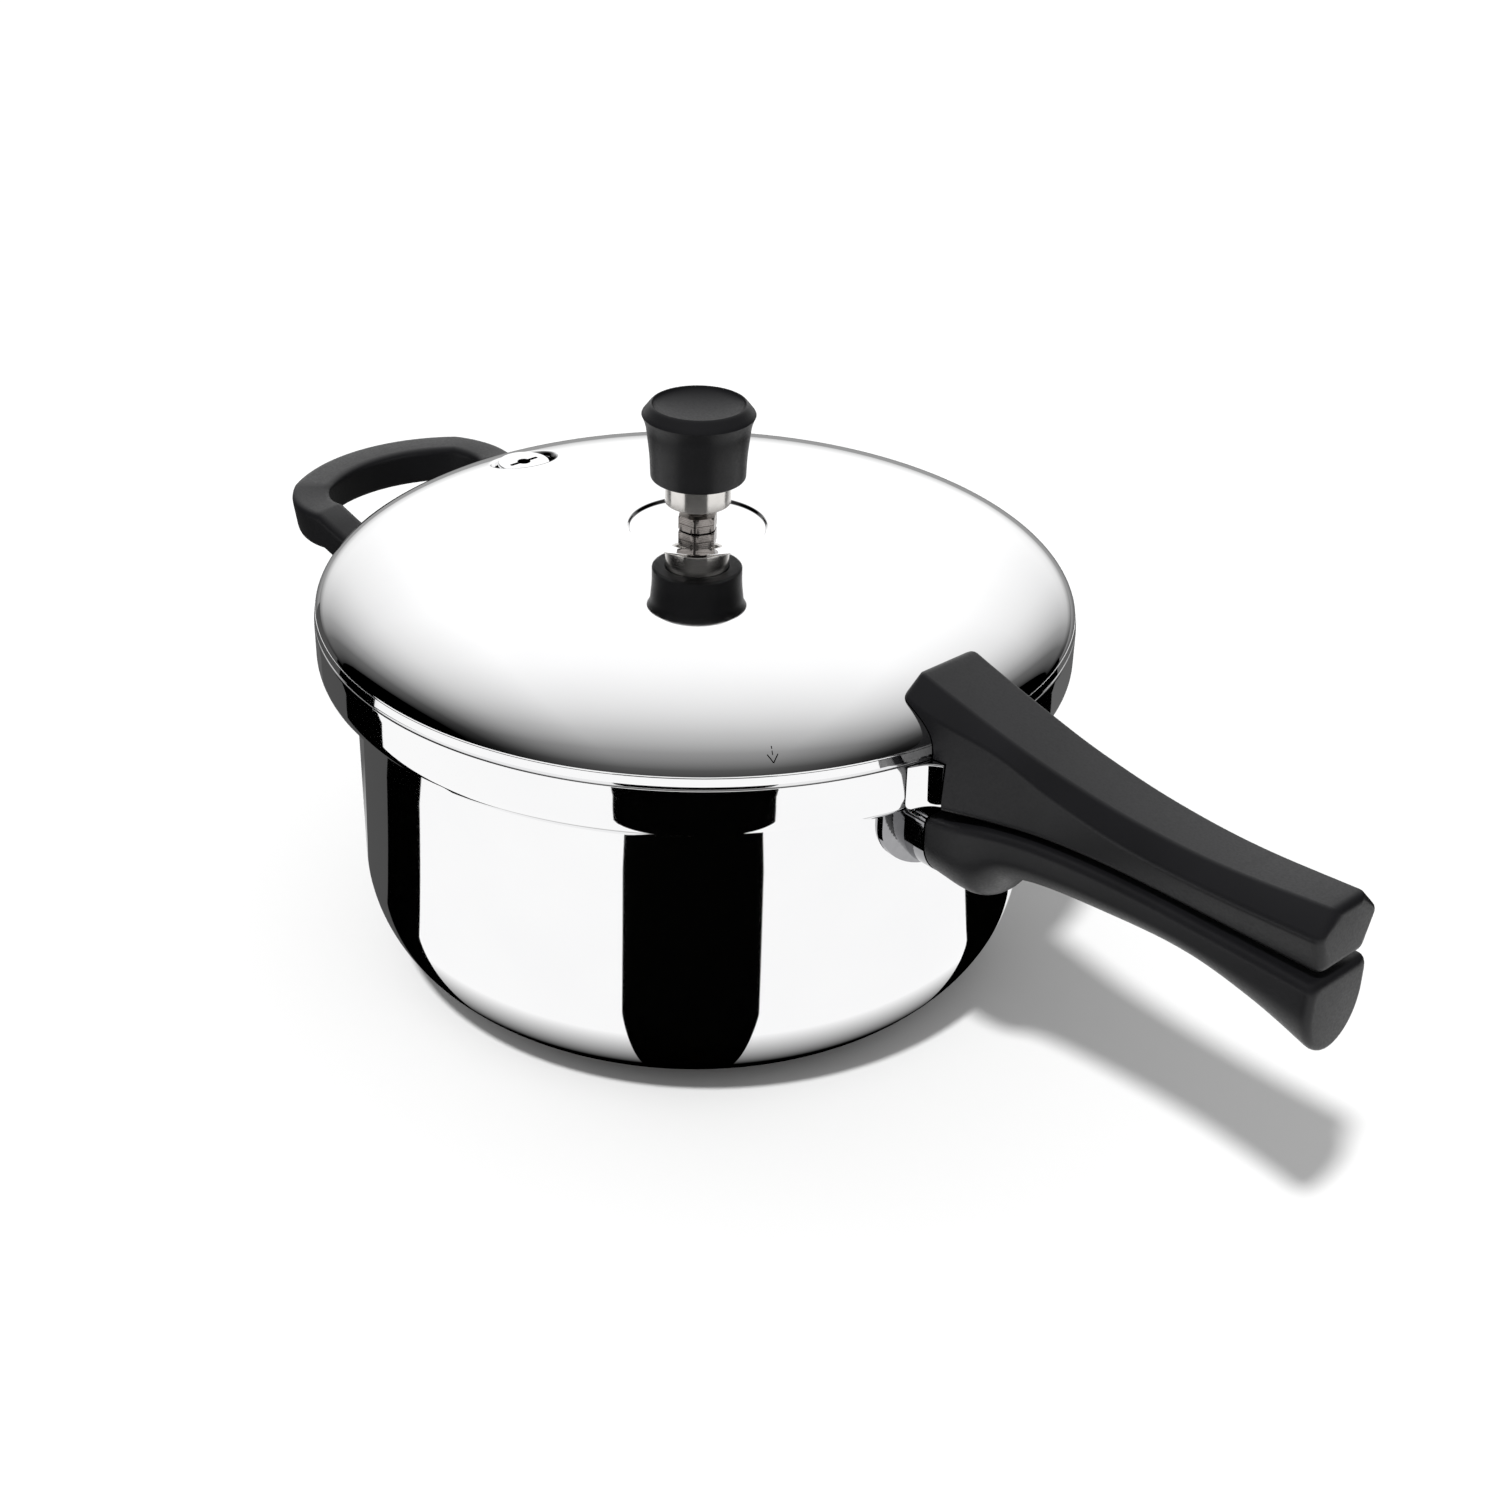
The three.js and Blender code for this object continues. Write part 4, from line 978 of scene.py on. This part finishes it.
def makeVent():
    low, high = boxMm("vent_pipe")
    hexLow = padTop + 0.3
    hexHigh = hexLow + vent["hexHeight"]
    middle = (hexLow + hexHigh) / 2

    def profile(angle):
        side = hexRadius(angle, vent["hexagon"], vent["turn"], 0.12)
        cut = min(side, vent["hexagon"] * 0.9)
        return [
            (vent["bore"], low[2]), (vent["thread"] - 0.3, low[2]), (vent["thread"], low[2] + 0.3),
            (vent["thread"], hexLow), (cut, hexLow), (side, hexLow + 0.35),
            (side, middle - 0.14), (side - 0.18, middle - 0.04),
            (side - 0.18, middle + 0.04), (side, middle + 0.14),
            (side, hexHigh - 0.5), (cut, hexHigh), (vent["stem"] + 0.3, hexHigh),
            (vent["stem"], hexHigh + 0.3), (vent["stem"], high[2] - 1), (vent["stem"] - 0.7, high[2]),
            (vent["bore"], high[2]),
        ]
    shape = Shape().turn(profile, evenAngles(144), closed=True)
    makePiece("ventPipe", shape, [drawnHexSteel], "lid", ["vent_pipe"], sharp=28)


makeVent()


valve = {"radius": 8.0, "shank": 4.8, "slotHalf": 5.2, "slotWidth": 1.3, "slotDepth": 1.3, "plug": 1.8}


def makeSafetyValve():
    low, high = boxMm("safety_valve_body")
    base = valveSeat + 0.3
    radius = valve["radius"]
    profile = (
        [(valve["plug"], low[2]), (valve["shank"] - 0.3, low[2]), (valve["shank"], low[2] + 0.3),
         (valve["shank"], base), (radius - 0.2, base), (radius, base + 0.2)]
        + arcPoints(radius - 0.5, high[2] - 0.5, 0.5, 0.5, 0, 90, 5)
        + [(valve["plug"] + 0.25, high[2]), (valve["plug"], high[2] - 0.25)]
    )
    shape = Shape().turn(lambda a: profile, evenAngles(120), closed=True)
    slot = boxShape((-valve["slotWidth"] / 2, -valve["slotHalf"], high[2] - valve["slotDepth"]),
                    (valve["slotWidth"] / 2, valve["slotHalf"], high[2] + 1), 0.5)
    shape = combine(shape, slot, "DIFFERENCE")
    # painted shade: the slot's and the hole's faces below the disc's top take the near-black steel
    for face in shape.mesh.faces:
        middle = face.calc_center_median()
        inSlot = abs(middle.x) < valve["slotWidth"] / 2 + 0.05 and abs(middle.y) < valve["slotHalf"] + 0.05
        inHole = math.hypot(middle.x, middle.y) < valve["plug"] + 0.3
        if (inSlot or inHole) and middle.z < high[2] - 0.02:
            face.material_index = 1
    shape.move((valveCentre[0], 0, 0))
    makePiece("safetyValveDisc", shape, [mirrorSteel, etchedMarkAndPaintedShadeSteel], "lid",
              ["safety_valve_body"])


makeSafetyValve()
print("valves made")


knob = {"foot": 13.7, "rim": 16.2, "dish": 3.9}


def makeRegulator():
    low, high = boxMm("weight_sleeve")
    outer, wall, bore = high[0], 1.5, 2.7
    cavity = boxMm("vent_pipe")[1][2] + 2
    profile = (
        [(outer - wall, low[2] + 0.2), (outer - wall + 0.2, low[2])]
        + arcPoints(outer - 0.35, low[2] + 0.35, 0.35, 0.35, -90, 0, 4)
        + [(outer, high[2] - 0.3), (outer - 0.3, high[2]), (bore, high[2]), (bore, cavity),
           (outer - wall, cavity)]
    )
    shape = Shape().turn(lambda a: profile, evenAngles(144), closed=True)
    makePiece("weightSleeve", shape, [turnedSteel], "weight", ["weight_sleeve"])

    low, high = boxMm("weight_knob")
    foot, rim, top, bottom = knob["foot"], knob["rim"], high[2], low[2]
    socket = outer + 0.3
    insertTop = boxMm("weight_insert")[1][2] + 0.3
    insertOuter = boxMm("weight_insert")[1][0] + 0.3
    side = smoothLine([(bottom + 0.9, foot), (bottom + 7, foot + 0.3), (top - 7, rim - 1.25)])
    levels = [bottom + 0.9 + (top - 7.9 - bottom) * k / 14 for k in range(15)]
    flare = [(1.25, 7.0), (1.0, 6.0), (0.7, 5.0), (0.35, 4.1), (0.08, 3.5), (0.0, 3.3), (0.1, 3.05)]
    shoulder = [(0.8, 2.15), (1.5, 1.25), (2.1, 0.5), (2.45, 0.14), (2.7, 0.0)]
    profile = (
        [(socket, bottom), (foot - 0.9, bottom)] + arcPoints(foot - 0.9, bottom + 0.9, 0.9, 0.9, -80, -10, 4)
        + [(side(z), z) for z in levels[:-1]]
        + [(rim - inset, top - drop) for inset, drop in flare + shoulder]
        + arcPoints(0, top - 0.05, rim - 2.9, knob["dish"] - 0.05, -2, -90, 16)
        + [(0, insertTop), (insertOuter, insertTop), (insertOuter, top - 9.4), (socket, top - 9.4)]
    )
    shape = Shape().turn(lambda a: profile, evenAngles(144))
    makePiece("weightKnob", shape, [blackPhenolic], "weight", ["weight_knob"], sharp=22)


makeRegulator()
print("regulator made")


keptNodes = {
    "pot_handle_washer": zincScrewSteel,
    "vent_seal": silicone,
    "vent_nut": zincScrewSteel,
    "fusible_plug": castAlloy,
    "safety_valve_seal": silicone,
    "safety_valve_nut": zincScrewSteel,
    "weight_clip": turnedSteel,
    "weight_pin": turnedSteel,
    "weight_insert": turnedBrass,
}
for name, finish in keptNodes.items():
    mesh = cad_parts[name].data
    mesh.materials.clear()
    mesh.materials.append(finish)


studio = {
    "floorColour": "#B4B4B4",
    "worldStrength": 1.0,
    "sunStrength": 5.2,
    "sunAngle": 5.0,  # degrees across
    "sunTo": (-22, 47, -85),  # from a point of the handle to its shadow
    "archRadius": 1.6,
    "archHalfWidth": 3.2,
    "archStrength": 1.25,
    "archFrom": -20,  # degrees round the arch from the horizon behind
    "floorDark": 86,  # mm from the axis, where the floor's reflection starts to brighten
    "floorBright": 114,
    "floorGlow": 1.08,
    "floorHalfWidth": 620,
    "stripRadius": 34,  # of the two small reflectors round the regulator
    "stripLevels": (136.8, 152),
    "stripBearings": ((-98, -42), (30, 98)),
    "stripGlow": 1.25,
    # mm behind the axis, brightness of the floor's reflection
    "behindStops": ((0, 1.0), (90, 0.12), (260, 0.1), (420, 0.22), (700, 0.32)),
}
cameraPlace = {
    "location": (465.4, -419.1, 418.8),
    "pitch": 29.5946,
    "turn": 1.5316,  # to the right
    "roll": 1.4701,
    "lens": 56.964,
}
towardsCamera = math.degrees(math.atan2(cameraPlace["location"][1], cameraPlace["location"][0]))


def lightOnly(obj, camera, diffuse, glossy, shadow):
    obj.visible_camera, obj.visible_diffuse = camera, diffuse
    obj.visible_glossy, obj.visible_shadow = glossy, shadow
    obj.visible_transmission = obj.visible_volume_scatter = False


def stageMesh(name, points, faces, material):
    mesh = bpy.data.meshes.new(name)
    mesh.from_pydata([tuple(c * mm for c in p) for p in points], [], faces)
    mesh.materials.append(material)
    obj = bpy.data.objects.new(name, mesh)
    bpy.context.scene.collection.objects.link(obj)
    return obj


def glowMaterial(name, strength):
    material = bpy.data.materials.new(name)
    material.use_nodes = True
    tree = material.node_tree
    tree.nodes.clear()
    glow = addNode(tree, "ShaderNodeEmission", {"Strength": strength})
    output = addNode(tree, "ShaderNodeOutputMaterial", links={"Surface": glow.outputs["Emission"]})
    return material, tree, glow


floorMaterial = bpy.data.materials.new("paintedFloor")
floorMaterial.use_nodes = True
floorShader = floorMaterial.node_tree.nodes["Principled BSDF"]
floorShader.inputs["Base Color"].default_value = toLinear(studio["floorColour"])
floorShader.inputs["Roughness"].default_value = 1.0
floorShader.inputs["Specular IOR Level"].default_value = 0.0
floorObject = stageMesh("floor", [(-9000, -9000, 0), (9000, -9000, 0), (9000, 9000, 0), (-9000, 9000, 0)],
                        [(0, 1, 2, 3)], floorMaterial)
lightOnly(floorObject, True, True, False, True)


# Reflector cards on the floor, seen only in the polish: bearings in degrees from the camera's side, near
# the pot and further out, to the right positive
floorCards = [
    {"name": "cardFront", "near": (-14.5, 14.0), "far": (-18.0, 18.0), "edge": 400, "shade": 0.0},
    {"name": "cardLeft", "near": (-89.0, -71.0), "far": (-103.0, -84.0), "edge": 1400, "shade": 0.0},
    {"name": "cardLeftGrey", "near": (-112.0, -89.0), "far": (-126.0, -103.0), "edge": 1400, "shade": 0.08},
    {"name": "cardRight", "near": (72.0, 98.0), "far": (83.0, 110.0), "edge": 1400, "shade": 0.0},
]
cardNear, cardFar, cardInner = 135, 233, 50


# The white floor as the polish sees it: it darkens under the pot, and goes grey far behind
def makeFloorGlow():
    material, tree, glow = glowMaterial("floorGlow", 1.0)
    place = addNode(tree, "ShaderNodeTexCoord").outputs["Object"]
    distance = addNode(tree, "ShaderNodeVectorMath", {"operation": "LENGTH"})
    tree.links.new(place, distance.inputs[0])
    shade = addNode(tree, "ShaderNodeMapRange", {"From Min": studio["floorDark"] * mm,
                                                 "From Max": studio["floorBright"] * mm, "To Min": 0.0,
                                                 "To Max": studio["floorGlow"]},
                    {"Value": distance.outputs["Value"]})
    back = Vector((-math.cos(math.radians(towardsCamera)), -math.sin(math.radians(towardsCamera)), 0))
    behind = addNode(tree, "ShaderNodeVectorMath", {"operation": "DOT_PRODUCT"})
    tree.links.new(place, behind.inputs[0])
    behind.inputs[1].default_value = back
    far = studio["behindStops"][-1][0]
    share = addNode(tree, "ShaderNodeMapRange", {"From Max": far * mm}, {"Value": behind.outputs["Value"]})
    fade = addNode(tree, "ShaderNodeValToRGB", links={"Fac": share.outputs["Result"]})
    elements = fade.color_ramp.elements
    while len(elements) < len(studio["behindStops"]):
        elements.new(0.5)
    for element, (distance, value) in zip(elements, studio["behindStops"]):
        element.position, element.color = distance / far, (value, value, value, 1)
    level = addNode(tree, "ShaderNodeMath", {"operation": "MULTIPLY"})
    tree.links.new(shade.outputs["Result"], level.inputs[0])
    tree.links.new(fade.outputs["Color"], level.inputs[1])
    tree.links.new(level.outputs[0], glow.inputs["Strength"])
    right = Vector((back.y, -back.x, 0))
    reach, wide = 1500, studio["floorHalfWidth"]
    corners = [back * -reach - right * wide, back * -reach + right * wide, back * reach + right * wide,
               back * reach - right * wide]
    obj = stageMesh("floorGlow", [(p.x, p.y, 0.2) for p in corners], [(0, 1, 2, 3)], material)
    lightOnly(obj, False, False, True, False)


def makeFloorCards():
    for card in floorCards:
        points, faces = [], []
        steps = 12
        for k in range(steps + 1):
            near = card["near"][0] + (card["near"][1] - card["near"][0]) * k / steps
            far = card["far"][0] + (card["far"][1] - card["far"][0]) * k / steps
            near, far = math.radians(towardsCamera + near), math.radians(towardsCamera + far)
            a = Vector((math.cos(near), math.sin(near))) * cardNear
            b = Vector((math.cos(far), math.sin(far))) * cardFar
            along = (b - a).normalized()
            for point in (a - along * (cardNear - cardInner), a, b, b + along * (card["edge"] - cardFar)):
                points.append((point.x, point.y, 0.4))
        for k in range(steps):
            for j in range(3):
                s = k * 4 + j
                faces.append((s, s + 1, s + 5, s + 4))
        material = glowMaterial(card["name"] + "Card", card["shade"])[0]
        obj = stageMesh(card["name"], points, faces, material)
        lightOnly(obj, False, False, True, False)


# Two small curved reflectors beside the regulator, which light the sides of its sleeve and stem
def makeStrips():
    glow = glowMaterial("stripGlow", studio["stripGlow"])[0]
    for name, (start, end) in zip(("stripLeft", "stripRight"), studio["stripBearings"]):
        points, steps, radius = [], 16, studio["stripRadius"]
        for k in range(steps + 1):
            angle = math.radians(towardsCamera + start + (end - start) * k / steps)
            for level in studio["stripLevels"]:
                points.append((radius * math.cos(angle), radius * math.sin(angle), level))
        faces = [(2 * k, 2 * k + 1, 2 * k + 3, 2 * k + 2) for k in range(steps)]
        lightOnly(stageMesh(name, points, faces, glow), False, False, True, False)


makeFloorCards()
makeFloorGlow()
makeStrips()


# A softbox that arches over the object from behind to the camera's side, seen only in reflections.
# Its glow falls off across its width, and along the arch towards the camera.
def makeArch():
    back = Vector((-math.cos(math.radians(towardsCamera)), -math.sin(math.radians(towardsCamera)), 0))
    right = Vector((back.y, -back.x, 0))
    radius, half = studio["archRadius"] * 1000, studio["archHalfWidth"] * 1000
    points, faces, coords = [], [], []
    rows, columns, archSpan = 76, 40, 188 - studio["archFrom"]
    for i in range(rows + 1):
        angle = math.radians(studio["archFrom"] + archSpan * i / rows)
        for j in range(columns + 1):
            across = -half + 2 * half * j / columns
            p = back * math.cos(angle) * radius + right * across + Vector((0, 0, math.sin(angle) * radius))
            points.append(tuple(p))
            coords.append((abs(across) / half, i / rows))
    for i in range(rows):
        for j in range(columns):
            s = i * (columns + 1) + j
            faces.append((s, s + 1, s + columns + 2, s + columns + 1))
    material, tree, glow = glowMaterial("archSoftbox", 1.0)
    obj = stageMesh("archSoftbox", points, faces, material)
    layer = obj.data.uv_layers.new(name="arch")
    for loop in obj.data.loops:
        layer.data[loop.index].uv = coords[loop.vertex_index]
    split = addNode(tree, "ShaderNodeSeparateXYZ",
                    links={"Vector": addNode(tree, "ShaderNodeTexCoord").outputs["UV"]})
    # share of the half-width against brightness, then degrees round the arch against brightness
    acrossStops = [(0.0, 1.0), (0.15, 1.0), (0.22, 0.86), (0.29, 0.74), (0.375, 0.54), (0.49, 0.3),
                   (0.64, 0.12), (1.0, 0.02)]
    alongStops = [(-20, 0.3), (-3, 0.34), (1, 0.6), (6, 0.92), (12, 1.0), (42, 1.0), (56, 0.9), (72, 0.7),
                  (88, 0.48), (110, 0.26), (148, 0.08), (188, 0.03)]
    factors = []
    alongShares = [((angle - studio["archFrom"]) / archSpan, value) for angle, value in alongStops]
    for socket, stops in (("X", acrossStops), ("Y", alongShares)):
        ramp = addNode(tree, "ShaderNodeValToRGB", links={"Fac": split.outputs[socket]})
        elements = ramp.color_ramp.elements
        while len(elements) < len(stops):
            elements.new(0.5)
        for element, (position, value) in zip(elements, sorted(stops)):
            element.position = position
            element.color = (value, value, value, 1)
        factors.append(ramp.outputs["Color"])
    both = addNode(tree, "ShaderNodeMath", {"operation": "MULTIPLY"})
    tree.links.new(factors[0], both.inputs[0])
    tree.links.new(factors[1], both.inputs[1])
    level = addNode(tree, "ShaderNodeMath", {"operation": "MULTIPLY"})
    tree.links.new(both.outputs[0], level.inputs[0])
    level.inputs[1].default_value = studio["archStrength"]
    tree.links.new(level.outputs[0], glow.inputs["Strength"])
    lightOnly(obj, False, False, True, False)


makeArch()

world = bpy.data.worlds.new("studioWhite")
world.use_nodes = True
world.node_tree.nodes["Background"].inputs["Color"].default_value = (1, 1, 1, 1)
world.node_tree.nodes["Background"].inputs["Strength"].default_value = studio["worldStrength"]
world.cycles_visibility.glossy = False
bpy.context.scene.world = world

sun = bpy.data.lights.new("keyLight", "SUN")
sun.energy, sun.angle = studio["sunStrength"], math.radians(studio["sunAngle"])
sunObject = bpy.data.objects.new("keyLight", sun)
sunObject.rotation_mode = "QUATERNION"
sunObject.rotation_quaternion = Vector(studio["sunTo"]).to_track_quat("-Z", "Y")
bpy.context.scene.collection.objects.link(sunObject)
sunObject.visible_glossy = False


def makeCamera():
    data = bpy.data.cameras.new("camera")
    data.lens, data.sensor_width = cameraPlace["lens"], 36
    camera = bpy.data.objects.new("camera", data)
    place = Vector(cameraPlace["location"]) * mm
    heading = math.atan2(-place.y, -place.x) - math.radians(cameraPlace["turn"])
    pitch = math.radians(cameraPlace["pitch"])
    level = math.cos(pitch)
    look = Vector((math.cos(heading) * level, math.sin(heading) * level, -math.sin(pitch)))
    roll = Matrix.Rotation(math.radians(cameraPlace["roll"]), 3, "Z")
    turn = look.to_track_quat("-Z", "Y").to_matrix() @ roll
    camera.matrix_world = Matrix.Translation(place) @ turn.to_4x4()
    data.clip_start, data.clip_end = 0.01, 60
    bpy.context.scene.collection.objects.link(camera)
    bpy.context.scene.camera = camera


makeCamera()
bpy.context.scene.view_settings.view_transform = "Standard"
print("studio made")
